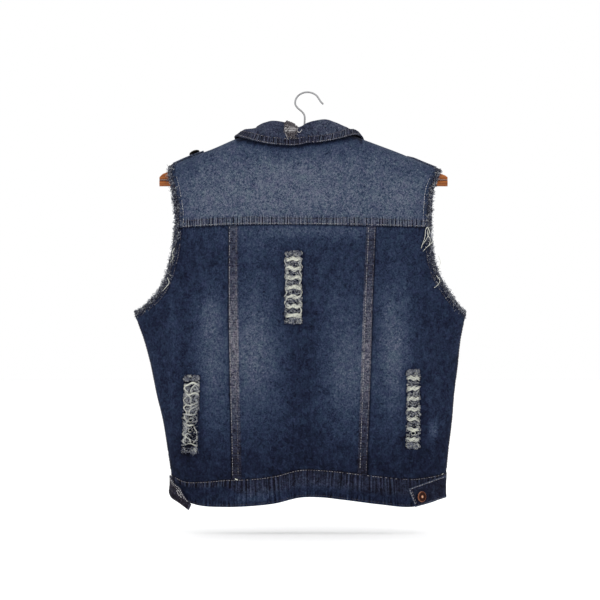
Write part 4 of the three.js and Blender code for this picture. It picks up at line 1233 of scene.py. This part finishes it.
def grid_normals(at):
    du = np.gradient(at, axis=0)
    dv = np.gradient(at, axis=1)
    return unit(np.cross(du, dv))


def collar_surface(u, v):
    at = collar_grid(u[:, 0], v[0])
    out = grid_normals(at)
    around = collar_turn(u) * 1.35
    from_edge = (1 - v) * 60
    hem = mask_edge(from_edge, 12, 5)
    lip = mask_edge(from_edge, 2.5, 1.5)
    ribs = puckers(around, hem, 0.45, 6.0)
    return at, out, -COLLAR_WITHIN + 0 * u, TAB_WALL - COLLAR_WITHIN - 0.5 + 0.5 * hem + 0.2 * lip + ribs


def edge_distances(grid):
    """How far each point of the collar lies from its free edge, along the cloth."""
    lengths = np.linalg.norm(np.diff(grid, axis=1), axis=-1)
    added = np.cumsum(lengths[:, ::-1], axis=1)[:, ::-1]
    return np.concatenate([added, np.zeros((len(grid), 1))], axis=1)


def collar():
    parts = ((0, 0.3, 12), (0.3, 0.62, 18), (0.62, 1, 26))
    rows = np.unique(np.concatenate([np.linspace(*part) for part in parts]))

    def looks(u, v, at):
        turn = collar_turn(u)
        from_edge = edge_distances(at)
        reach = reach_of(at[:, -1])
        hem = mask_edge(from_edge, 9.5, 2.5)
        fold = np.exp(-((v - 0.42) / 0.05) ** 2)
        base = 0.30 + 0.10 * np.exp(-((turn - 48) / 26) ** 2) + 0.20 * np.exp(-((turn + 38) / 30) ** 2)
        base = base + 0.05 * fold - 0.12 * (v < 0.36) - 0.10 * hem + 0.2 * mask_edge(from_edge, 1.2, 1.0)
        along_at = 0.9 * reach[:, None] + 0 * u
        return {"fade": base, "seam": 1.3 * hem, "along": along_at, "brown": 0.26 + 0.05 * hem}

    return shell("collar_cloth", ["collar"], collar_surface, steps(560, MEDIUM), rows, looks)


# Sewing


def surface_points(surface, u, v):
    """Points and directions of the outer face along a line of a surface."""
    at, out, _, over = surface(u, v)
    return at + out * np.asarray(over)[..., None], out


def stitches(points, out, gap):
    """Short arched threads along a line of points."""
    reach = reach_of(points)
    count = int((reach[-1] - 1) // (STITCH_LONG + gap))
    starts = 0.5 + np.arange(count) * (STITCH_LONG + gap)
    parts = np.array([0.0, 0.25, 0.75, 1.0])
    heights = np.array([STITCH_DIP, STITCH_RISE, STITCH_RISE, STITCH_DIP])
    s = starts[:, None] + parts[None] * STITCH_LONG
    return at_reach(s, reach, points) + unit(at_reach(s, reach, out)) * heights[None, :, None]


def flat_line(surface, u, v):
    """A line over a surface, where u and v are each a place or a pair of ends."""
    t = np.linspace(0, 1, LINE_POINTS)
    us, vs = [mix(*w, t) if isinstance(w, tuple) else np.full(LINE_POINTS, float(w)) for w in (u, v)]
    points, out = surface_points(surface, us[:, None], vs[:, None])
    return points[:, 0], out[:, 0]


def ring_line(surface, u, v, half_u, half_v):
    """A closed line round a buttonhole."""
    turn = np.linspace(0, 2 * math.pi, 60)[:, None]
    points, out = surface_points(surface, u + half_u * np.cos(turn), v + half_v * np.sin(turn))
    return points[:, 0], out[:, 0]


def collar_line(inset, end):
    """A line on the collar, from one turn to its opposite, at a distance from the free edge."""
    u = (np.linspace(-end, end, LINE_POINTS) - COLLAR[0, 0]) / COLLAR_SPAN
    grid = collar_grid(u, np.linspace(0.5, 1.0, 70))
    out = grid_normals(grid)
    away = edge_distances(grid)
    order = np.arange(grid.shape[1])[::-1]
    rows = np.arange(LINE_POINTS)
    found = np.array([np.interp(inset, away[k, ::-1], order) for k in rows])
    low = np.floor(found).astype(int)
    high = np.minimum(low + 1, grid.shape[1] - 1)
    at, way = [mix(values[rows, low], values[rows, high], (found - low)[:, None]) for values in (grid, out)]
    return at + way * (TAB_WALL - COLLAR_WITHIN), way


def sew(name, rows, radius=0.34, broken=0.1, gap=1.1):
    """One piece from rows of stitches; each row is ((points, directions), shade)."""
    paths, shades = [], []
    for line, shade in rows:
        made = stitches(*line, gap)
        made = made[RNG.random(len(made)) > broken]
        paths.append(made)
        shades.append(np.full(len(made), shade) + RNG.uniform(-0.18, 0.18, len(made)))
    thick = radius * np.array([0.6, 1.0, 1.0, 0.6])
    shade = {"shade": np.concatenate(shades)}
    return tubes(name, np.concatenate(paths), thick, 4, shade, STITCH, "fray")


def sewn(lines):
    """Rows of stitches from (surface, u, v, shade)."""
    return [(flat_line(surface, u, v), shade) for surface, u, v, shade in lines]


def back_sewing():
    across = (0.01, 0.99)
    lines = [(yoke_surface, across, 1 - above / 150, shade) for above, shade in ((2.2, 0.62), (11.0, 0.0))]
    for off, shade in ((1.8, 0.66), (12.2, 0.36)):
        lines.append((centre_surface, 1 - off / 222, (0.004, 0.996), shade))
        lines.append((centre_surface, off / 222, (0.004, 0.996), 1.02 - shade))
    band_back = band_surface("waistband_back")
    lines.append((band_back, (0.02, 0.98), 1.8 / BAND_HEIGHT, 0.5))
    lines.append((band_back, (0.02, 0.98), 1 - 3.0 / BAND_HEIGHT, 0.0))
    lines += [(yoke_surface, edge, (0.35, 0.97), 0.75) for edge in (0.024, 0.976)]
    for side in SIDES:
        lines.append((side_surface(side), 1 - 9 / 130, (0.02, 0.34), 0.32))
        lines.append((side_surface(side), 0.985, (0.39, 0.99), 0.25))
    sew("back_stitches", sewn(lines))


def front_sewing():
    lines = []
    for side in SIDES:
        panel = front_surface(side)
        lines += [(panel, (0.42, 0.98), v, 0.7) for v in (0.008, 0.026)]
        lines += [(panel, 0.95, (0.03, 0.46), 0.6), (panel, 0.985, (0.50, 0.99), 0.3)]
    lines += [(placket_surface("left"), u, (0.01, 0.99), 0.7) for u in (0.07, 0.93)]
    for node in ("waistband_front_left", "waistband_front_right"):
        lines.append((band_surface(node), (0.01, 0.99), 2.4 / BAND_HEIGHT, 0.55))
        lines.append((band_surface(node), (0.01, 0.99), 1 - 3.0 / BAND_HEIGHT, 0.3))
    sew("front_stitches", sewn(lines))


def collar_sewing():
    sew("collar_edge_stitches", [(collar_line(1.8, 168), 0.5)], 0.36, 0.02, 0.4)
    sew("collar_stitches", [(collar_line(10.4, 166), 0.42)], 0.3)


def tab_sewing():
    rows = sewn((
        (buttoned_surface, (0.06, 0.97), 0.05, 0.62),
        (buttoned_surface, (0.1, 0.95), 0.93, 0.15),
        (buttoned_surface, 0.972, (0.05, 0.95), 0.85),
        (buttoned_surface, 0.93, (0.05, 0.95), 0.3),
        (loose_surface, (0.05, 0.95), 0.07, 0.95),
        (loose_surface, (0.05, 0.88), 0.2, 0.6),
        (loose_surface, (0.05, 0.93), 0.92, 0.2),
    ))
    rows.append((ring_line(loose_surface, 0.60, 0.28, 0.13, 0.13), 0.95))
    rows.append((ring_line(loose_surface, 0.60, 0.28, 0.11, 0.075), 0.9))
    rows += sewn(((loose_surface, (0.30, 0.44), 0.62, 0.35), (loose_surface, (0.66, 0.84), 0.55, 0.3)))
    sew("tab_stitches", rows, 0.36, 0.02)


# Frayed edges


def armhole_stations(side, count):
    """Points along the cut edge, the cloth's direction there and the way off the edge."""
    sign = SIDES[side]
    longest = float(run_to(float(sign * half_width(sign, float(ARMPIT_DOWN))), float(ARMPIT_DOWN)))
    run = longest * np.sin(math.pi * (0.5 - np.linspace(0, 1, 900)))
    edge = over_shoulder(1, lambda down: outer_turn(side, down), run)
    reach = reach_of(edge)
    at = at_reach((np.arange(count) + 0.5) / count * reach[-1], reach, edge)
    ahead = unit(np.roll(at, -1, axis=0) - np.roll(at, 1, axis=0))
    out = body_out(at)
    away = unit(np.cross(out, ahead)) * sign
    return at, out, away, ahead


def curls(at, out, away, ahead, size, radius):
    """Loose threads that start at points, wander off and curl back."""
    count = len(at)
    t = np.linspace(0, 1, FRINGE_POINTS)[None, :, None]
    heading = away * RNG.uniform(-0.2, 1.0, (count, 1)) + ahead * RNG.uniform(-1.0, 1.0, (count, 1))
    heading = unit(heading + out * RNG.uniform(-0.2, 0.5, (count, 1)))
    aside = np.cross(heading, out) * RNG.choice([-1, 1], (count, 1))
    aside = aside + out * RNG.uniform(-0.5, 0.5, (count, 1))
    bend = RNG.uniform(1.4, 4.6, (count, 1, 1))
    reach = size[:, None, None] / np.sqrt(bend)
    paths = at[:, None] + heading[:, None] * reach * np.sin(t * bend)
    paths = paths + unit(aside)[:, None] * reach * (1 - np.cos(t * bend))
    thick = radius[:, None] * (1 - 0.5 * t[0, :, 0])
    return paths, thick


def armhole_fray(side):
    """The raw edge: threads left lying along it under a ragged rim of short curls."""
    count = 2400
    at, out, away, ahead = armhole_stations(side, count)
    deep, high = RNG.random((count, 1)) < 0.8, RNG.uniform(0.5, 7.5, (count, 1))
    into = np.where(deep, high, RNG.uniform(-5, 2, (count, 1)))
    lift = np.where(into < 0, CLOTH / 2 + 0.3, 0.2) + RNG.uniform(-0.2, 0.7, (count, 1))
    near_pit = ease((ARMPIT_DOWN - 4 + at[:, 2]) / 25)
    size = RNG.uniform(1.4, 4.0, count) * mix(0.6, 1.0, near_pit)
    roots = at + away * into + out * lift
    paths, thick = curls(roots, out, away, ahead, size, RNG.uniform(0.26, 0.48, count))
    pale = RNG.random(count) < mix(0.25, 0.62, ease(into[:, 0] / 5))
    shade = np.where(pale, RNG.uniform(0.42, 0.74, count), RNG.uniform(0.05, 0.32, count))

    lying = 1500
    at, out, away, ahead = armhole_stations(side, lying)
    t = np.linspace(-0.5, 0.5, FRINGE_POINTS)[None, :, None]
    base = at + away * RNG.uniform(-1.5, 6.4, (lying, 1)) + out * RNG.uniform(-0.8, 0.3, (lying, 1))
    wave = RNG.uniform(-0.8, 0.8, (lying, 1, 1)) * np.sin(t * RNG.uniform(3, 9, (lying, 1, 1)))
    near_pit = ease((ARMPIT_DOWN - 4 + at[:, 2]) / 25)
    length = RNG.uniform(7, 12, (lying, 1, 1)) * mix(0.5, 1.0, near_pit)[:, None, None]
    along_edge = base[:, None] + ahead[:, None] * t * length + away[:, None] * wave
    paths = np.concatenate([paths, along_edge])
    thick = np.concatenate([thick, np.repeat(RNG.uniform(0.4, 0.62, (lying, 1)), FRINGE_POINTS, axis=1)])
    shade = np.concatenate([shade, RNG.uniform(-0.1, 0.12, lying)])
    name, nodes = "armhole_threads_" + side, ["armhole_fray_" + side]
    return tubes(name, paths, THREAD_SWELL * thick, THREAD_SIDES, {"shade": shade}, FRAY, "fray", nodes)


def long_threads():
    """A few long white threads that hang from the armholes, most from the right one, and three short white
    ones at the ends of seams.
    """
    lines = (
        ((-186, 207), (-189, 214), (-184, 226), (-178, 235)),
        ((-186, 207), (-183, 212), (-182, 222), (-176, 240)),
        ((-196, 228), (-191, 233), (-184, 239), (-179, 245)),
        ((-187, 210), (-186, 219), (-190, 226), (-188, 236)),
        ((-203, 252), (-206, 262), (-203, 270), (-206, 278)),
        ((-200, 282), (-205, 290), (-201, 297), (-196, 301)),
        ((203, 240), (206, 246), (205, 254), (209, 262)),
        ((214, 285), (211, 293), (216, 300), (221, 306)),
        ((110, 594), (108.6, 594.6), (107, 595), (105.4, 595.4)),
        ((109.6, 595), (108.2, 595.6), (106.6, 596), (105, 596.4)),
        ((-208, 588.4), (-208.6, 587.9), (-209.2, 587.4), (-209.8, 586.9)),
    )
    paths = []
    for line in lines:
        x, down = np.array(line, float).T
        at = on_face(1, turn_of(x, down), down)
        out = body_out(at)
        lifted = at + out * np.array([1.0, 1.8, 2.2, 1.6])[:, None]
        paths.append(np.array([catmull(lifted, t) for t in np.linspace(0, 1, 12)]))
    thick = np.linspace(0.5, 0.3, 12)
    shade = {"shade": np.full(len(lines), 0.97)}
    return tubes("long_threads", np.array(paths), thick, 5, shade, FRAY, "fray")


def ladder_threads(ladder, seed):
    """Bundles of bared weft in wavy rungs, with fuzz between them and at both ends."""
    name, _, _, top, low, width, rungs, rips = ladder
    rng = np.random.default_rng(seed)
    high = low - top
    tangled = name == "ladder_left"
    t = np.linspace(0, 1, 11)
    paths, shades, thick = [], [], []

    def thread(u, v, lift, shade, radius):
        points = ladder_point(ladder, u, v)
        paths.append(points + body_out(points) * (CLOTH / 2 + lift + 0 * t)[:, None])
        shades.append(shade)
        thick.append(radius)

    def bundle(start, end, wave, periods, count, spread, shades_from, radius, sway=0.0):
        phase = rng.uniform(0, 6)
        aside = sway * np.sin(2 * math.pi * t + rng.uniform(0, 6)) / width
        for k in range(count):
            off = (k / max(1, count - 1) - 0.5) * spread
            height = wave * np.sin(2 * math.pi * periods * t + phase + 0.2 * off)
            height = height + off * rng.uniform(0.75, 1.15)
            ends = rng.uniform(-0.07, 0.07, 2)
            lift = 0.5 + rng.uniform(0.3, 1.1) * np.sin(math.pi * t)
            u = mix(start[0] + ends[0], end[0] + ends[1], t) + aside
            v = mix(start[1], end[1], t) + height / high
            thread(u, v, lift, rng.uniform(*shades_from), rng.uniform(*radius))

    def curl(u, v, size, shade):
        bend = rng.uniform(2.5, 6.0)
        turn = rng.uniform(0, 6.3) + bend * t
        lift = 0.4 + rng.uniform(0.2, 1.4) * t
        across, up = size * np.cos(turn) / width, size * np.sin(turn) / high
        thread(u + across, v + up, lift, shade, rng.uniform(0.24, 0.4))

    def fuzz(count, u, v, size, shade):
        for _ in range(count):
            curl(rng.uniform(*u), rng.uniform(*v), rng.uniform(*size), rng.uniform(*shade))

    middles = [mix(FIRST_RUNG, LAST_RUNG, k / (rungs - 1)) for k in range(rungs)]
    step = middles[1] - middles[0]
    sides = ((0.94, 0.9), (0.06, 0.6)) if name == "ladder_centre" else ()
    for k, middle in enumerate(middles):
        lean = rng.uniform(-1.0, 1.0) / high
        start, end = (0.05, middle - lean), (0.95, middle + lean)
        if tangled:
            count, spread = (6, 2.6) if k < 2 else (3, 1.3)
            wave, periods = rng.uniform(1.2, 2.2), rng.uniform(0.9, 1.4)
            bundle(start, end, wave, periods, count, spread, (0.6, 0.95), (0.32, 0.46))
        else:
            bundle(start, end, rng.uniform(0.9, 1.5), rng.uniform(1.2, 2.0), 9, 5.0, (0.74, 1.0), (0.34, 0.5))
            bundle(start, end, rng.uniform(0.6, 1.4), rng.uniform(1.1, 2.6), 3, 5.6, (0.2, 0.6), (0.3, 0.4))
    for k, middle in enumerate(middles[:-1]):
        below = middle + step
        if tangled:
            first, second = ((0.2, middle), (0.6, below)) if k % 2 else ((0.8, middle), (0.3, below))
            wave, periods = rng.uniform(0.5, 1.6), rng.uniform(0.6, 1.2)
            bundle(first, second, wave, periods, 3, 0.8, (0.5, 0.9), (0.3, 0.44), 2.0)
            bundle((0.14, middle), (0.14, below), 0.6, 1.0, 3, 1.0, (0.6, 0.95), (0.28, 0.42), 2.6)
            fuzz(56, (0.06, 0.98), (middle, below), (0.5, 1.5), (0.3, 0.66))
            bundle((0.86, middle), (0.86, below), 0.6, 1.0, 2, 0.8, (0.4, 0.75), (0.26, 0.38), 2.2)
        for side, share in sides:
            if rng.random() < share:
                bundle((side, middle), (side, below), 0.4, 1.0, 3, 1.0, (0.5, 0.9), (0.28, 0.42), 1.5)
        for _ in range(3):
            v = middle + step * rng.uniform(0.36, 0.64)
            zigzag = rng.uniform(0.5, 1.1) * np.sin(t * rng.uniform(9, 16) + rng.uniform(0, 6)) / high
            thread(mix(0.16, 0.84, t), v + zigzag, 0.25, rng.uniform(0.0, 0.1), rng.uniform(0.4, 0.6))
        fuzz(38, (0.06, 0.94), (middle + 0.24 * step, middle + 0.8 * step), (0.4, 1.3), (0.3, 0.72))
    for edge in (0.03, 0.97):
        fuzz(rungs * 9, (edge - 0.07, edge + 0.07), (0.0, 1.0), (0.5, 1.3), (0.25, 0.7))
    for low_v, high_v in ((-0.012, FIRST_RUNG - 0.035), (LAST_RUNG + 0.035, 1.0)):
        fuzz(80, (0.03, 0.97), (low_v, high_v), (0.6, 1.7), (0.18, 0.45))
        fuzz(26, (0.03, 0.97), (low_v, high_v), (0.6, 1.5), (0.5, 0.8))
    for _ in range(40 if tangled else 0):
        u = rng.uniform(0.08, 0.92)
        fall = 1.05 - 0.12 * abs(u - 0.42)
        lean = (u - 0.45) * rng.uniform(0.0, 0.5)
        low_end = fall + rng.uniform(-0.03, 0.01)
        thread(mix(u, u + lean, t), mix(LAST_RUNG + 0.02, low_end, t), 0.5, rng.uniform(0.25, 0.62), 0.3)

    holes = [ladder_point(ladder, 0.5, rip) for rip in rips]

    def clear(path):
        """Whether a thread keeps off the rips."""
        away = [(path - hole) for hole in holes]
        return all(np.hypot(d[:, 0] / RIP_ACROSS, d[:, 2] / RIP_HIGH).min() > RIP_CLEAR for d in away)

    kept = [clear(path) for path in paths]
    paths, shades, thick = [[v for v, on in zip(values, kept) if on] for values in (paths, shades, thick)]
    turn = 2 * math.pi * t
    oval = np.stack([0.6 * RIP_ACROSS * np.cos(turn), 0 * t, 0.6 * RIP_HIGH * np.sin(turn)], axis=-1)
    for hole in holes:
        paths.append(hole + oval + body_out(hole + oval) * (CLOTH / 2 + 0.7))
        shades.append(0.85)
        thick.append(0.42)
    paths, shades = np.array(paths), np.array(shades)
    radius = THREAD_SWELL * np.array(thick)[:, None] * (1 - 0.3 * np.abs(2 * t - 1))
    shade = {"shade": shades + 0.14}
    return tubes(name + "_threads", paths, radius, THREAD_SIDES, shade, FRAY, "fray", [name])


def collar_rag():
    """The frayed patch over the collar's fold."""
    rng = np.random.default_rng(31)
    t = np.linspace(0, 1, 9)
    paths, shades, thick = [], [], []

    def thread(turns, places, lifts, shade, radius):
        sections = collar_points(turns)
        ahead = collar_points(turns + 0.001 * COLLAR_SPAN)
        points = np.array([catmull(sections[k], places[k]) for k in range(len(t))])
        beside = np.array([catmull(ahead[k], places[k]) for k in range(len(t))])
        below = np.array([catmull(sections[k], places[k] + 0.004) for k in range(len(t))])
        out = unit(np.cross(beside - points, below - points))
        paths.append(points + out * (TAB_WALL - COLLAR_WITHIN + lifts)[:, None])
        shades.append(shade)
        thick.append(radius)

    def lay():
        radius = THREAD_SWELL * np.array(thick)[:, None] * (1 - 0.3 * np.abs(2 * t - 1))
        made = np.array(paths), radius, THREAD_SIDES, {"shade": np.array(shades)}
        for values in (paths, shades, thick):
            values.clear()
        return made

    for _ in range(300):
        turns = rng.uniform(7, 21) + (t - 0.5) * rng.uniform(-4, 4)
        place = rng.uniform(0.40, 0.82) + (t - 0.5) * rng.uniform(-0.1, 0.1)
        lifts = 0.3 + rng.uniform(0.3, 1.8) * np.sin(math.pi * t * rng.uniform(0.6, 1.2))
        thread(turns, place, lifts, rng.uniform(0.1, 0.5), rng.uniform(0.28, 0.45))
    for _ in range(90):
        turns = rng.uniform(11.5, 20.5) + (t - 0.5) * rng.uniform(-4, 4)
        lifts = 0.2 + rng.uniform(1.2, 3.4) * np.sin(math.pi * t)
        thread(turns, mix(0.36, 0.47, t), lifts, rng.uniform(0.12, 0.5), rng.uniform(0.3, 0.5))
    tubes("collar_rag", *lay(), STITCH, "fray", ["collar_fray"])

    for k in range(18):
        place = mix(0.585, 0.71, k / 17) + mix(-0.045, 0.045, t) + 0.008 * np.sin(t * rng.uniform(3, 6) + k)
        ends = rng.uniform(-1.2, 1.2, 2)
        lifts = 1.0 + rng.uniform(0.6, 1.6) * np.sin(math.pi * t)
        turns = mix(6.5 + ends[0], 17.5 + ends[1], t)
        thread(turns, place, lifts, rng.uniform(0.45, 0.8), rng.uniform(0.38, 0.55))
    ring = 2 * math.pi * t
    for size in (1.0, 0.75):
        thread(19.6 + 1.6 * size * np.cos(ring), 0.70 + 0.035 * size * np.sin(ring), 1.6 + 0 * t, 0.95, 0.45)
    # Painted shade: a dark thread fills the middle of the ring.
    thread(mix(19.3, 19.9, t), 0.70 + 0 * t, 1.5 + 0 * t, -0.4, 0.8)
    thread(mix(17.5, 21.0, t), mix(0.60, 0.63, t), 1.2 + 0 * t, 0.8, 0.4)
    thread(mix(20.8, 16.8, t), mix(0.75, 0.87, t), 1.0 + 0 * t, 0.75, 0.42)
    thread(mix(7.0, 0.8, t), 0.655 + 0.05 * np.sin(math.pi * t), 1.4 + 0 * t, 1.0, 0.5)
    tubes("collar_rag_threads", *lay(), STITCH, "fray")


# Hard pieces


# A button's outline from its shank to the middle of its dish: radius, height, polish (rubbed brightness, with
# a painted highlight on the boss in the middle)
BUTTON_OUTLINE = (
    (0.0, 0.0, 0.2), (3.0, 0.0, 0.2), (3.0, 2.0, 0.2), (7.4, 2.1, 0.2), (8.1, 2.5, 0.45),
    (8.45, 3.2, 0.5), (8.2, 3.9, 0.6), (7.5, 4.35, 0.5), (6.7, 4.3, 0.25), (6.2, 3.9, 0.0),
    (5.2, 3.65, 0.0), (3.4, 3.8, 0.05), (2.6, 4.2, 0.2), (1.4, 4.55, 0.95), (0.0, 4.7, 1.0),
)
BUTTON_SIDES = 40


def button_piece(name, node, at, direction, seat, metal=COPPER):
    """A shank button with a rolled rim and a shallow dish with a small boss."""
    first, *profile, last = BUTTON_OUTLINE
    points, faces = [], []
    for r, h, _ in profile:
        for k in range(BUTTON_SIDES):
            a = 2 * math.pi * k / BUTTON_SIDES
            points.append((r * math.cos(a), r * math.sin(a), h))
    top = len(points) - BUTTON_SIDES
    points += [(0, 0, first[1]), (0, 0, last[1])]
    low, high = len(points) - 2, len(points) - 1
    ring = [(k, (k + 1) % BUTTON_SIDES) for k in range(BUTTON_SIDES)]
    for base in range(0, top, BUTTON_SIDES):
        over = base + BUTTON_SIDES
        faces += [(base + k, base + n, over + n, over + k) for k, n in ring]
    for k, n in ring:
        faces += [(n, k, low), (top + k, top + n, high)]
    turn = Vector(direction).to_track_quat("Z", "Y")
    middle = Vector(at) + Vector(direction) * seat
    placed = [tuple(turn @ Vector(p) + middle) for p in points]
    polish = np.repeat([bright_share for _, _, bright_share in profile], BUTTON_SIDES)
    polish = np.append(polish, [first[2], last[2]])
    return mesh_piece(name, placed, faces, {"polish": polish}, metal, [node])


def buttons():
    over_placket = CLOTH / 2 + SEAM_GAP + TAB_WALL + SEAM_GAP
    for i, down in enumerate(FRONT_BUTTONS_DOWN):
        at = on_face(-1, turn_of(float(CLOSE_MIDDLE), float(down)), float(down))
        button_piece(f"front_stud_{i + 1}", f"front_button_{i + 1}", at, (0, -1, 0), over_placket)
    down = float(BAND_BUTTON_DOWN)
    at = on_face(-1, turn_of(float(CLOSE_MIDDLE), down), down)
    button_piece("waistband_stud", "waistband_button", at, (0, -1, 0), TWO_PLY + TAB_GAP + BAND_FACE)
    for side, _, _, _, _, (x, run) in SHOULDER_TABS:
        at = place_over(np.float64(x), np.float64(run))
        name, node = "shoulder_stud_" + side, "shoulder_button_" + side
        button_piece(name, node, at, body_out(at), over_placket + HALF_GAP, DARK_METAL)
    at = buttoned_place(np.float64(0.82), np.float64(0.54))
    leaning = unit(body_out(at) + np.array([-0.62, 0, 0]))
    button_piece("waist_stud_right", "waist_button_right", at, leaning, BAND_FACE + TAB_WALL + SEAM_GAP + 2.6)


def hook():
    """The wire hook, smooth along its bend."""
    middle_x, middle_z = -1.5, 1.4 - 16.2
    loop = [
        (middle_x - 19 * math.cos(math.radians(a)), middle_z + 16.2 * math.sin(math.radians(a)))
        for a in np.linspace(22, 188, 9)
    ]
    stem = [(14.6, -21.8), (5.4, -30.4), (3, -35.2), (3, -46), (4.6, -61.7)]
    line = np.array([(x, 0.0, z) for x, z in [(-26.0, -17.2), (-22.2, -13.4), *loop, *stem]])
    path = np.array([[catmull(line, t) for t in np.linspace(0, 1, 140)]])
    return tubes("hook_wire", path, 1.4, 20, {"polish": [0.5]}, STEEL, "wire", ["hanger_hook"])


def dress_hanger():
    for node in ("hanger_arms", "hanger_bar"):
        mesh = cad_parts[node].data
        mesh.materials.clear()
        mesh.materials.append(WOOD)


# Stage, light and camera


FLOOR_HALF = 12.0
FLOOR_LEVEL = -0.68
LENS_ANGLE = 8.258
SENSOR_WIDTH = 36
CAMERA_PLACE = (0.010, 6.42, -0.3196)
LAMP_TARGET = (0, 0, -0.3)
# Lamps: name, place, size, power
LAMPS = (
    ("key", (-0.9, 1.7, 1.1), 1.6, 10),
    ("fill", (1.4, 1.5, 0.2), 1.8, 5),
    ("back", (0.3, -1.9, 0.9), 1.8, 10),
)


def stage():
    mesh = bpy.data.meshes.new("floor")
    corners = [(x * FLOOR_HALF, y * FLOOR_HALF, FLOOR_LEVEL) for x, y in ((-1, -1), (1, -1), (1, 1), (-1, 1))]
    mesh.from_pydata(corners, [], [(0, 1, 2, 3)])
    floor = place_object("floor", mesh)
    n = Nodes("floor_paper")
    tone = n.ramp(n.noise((3, 3, 3)), [(0.3, (0.97, 0.97, 0.97, 1)), (0.7, (0.985, 0.985, 0.985, 1))])
    glow = {"Emission_Strength": 0.12, "Emission_Color": (1, 1, 1, 1)}
    mesh.materials.append(n.surface(Base_Color=tone, Roughness=0.9, **glow))

    world = bpy.data.worlds.new("studio")
    bpy.context.scene.world = world
    world.use_nodes = True
    background = world.node_tree.nodes["Background"]
    background.inputs["Color"].default_value = (1, 1, 1, 1)
    background.inputs["Strength"].default_value = 1.0


def lamp(name, place, size, power):
    data = bpy.data.lights.new(name, "AREA")
    data.size = size
    data.energy = power
    light = place_object(name, data)
    light.location = place
    light.rotation_mode = "QUATERNION"
    light.rotation_quaternion = (Vector(place) - Vector(LAMP_TARGET)).to_track_quat("Z", "Y")


def camera():
    data = bpy.data.cameras.new("camera")
    data.sensor_width = SENSOR_WIDTH
    data.lens = SENSOR_WIDTH / 2 / math.tan(math.radians(LENS_ANGLE / 2))
    cam = place_object("camera", data)
    cam.location = CAMERA_PLACE
    cam.rotation_euler = (math.radians(90), 0, math.radians(180))
    bpy.context.scene.camera = cam


camera()
stage()
for one in LAMPS:
    lamp(*one)
bpy.context.scene.view_settings.view_transform = "Standard"


cloths = [yoke(), centre(), back_side("left"), back_side("right"), front("left"), front("right")]
cloths += [placket("left"), placket("right")]
cloths += [band(node) for node in BANDS]
cloths += [buttoned_tab(), loose_tab(), *[shoulder_tab(tab) for tab in SHOULDER_TABS], collar()]
back_sewing()
front_sewing()
collar_sewing()
tab_sewing()
for arm in SIDES:
    armhole_fray(arm)
long_threads()
for number, one in enumerate(LADDERS):
    ladder_threads(one, 11 + number)
collar_rag()
buttons()
hook()
dress_hanger()
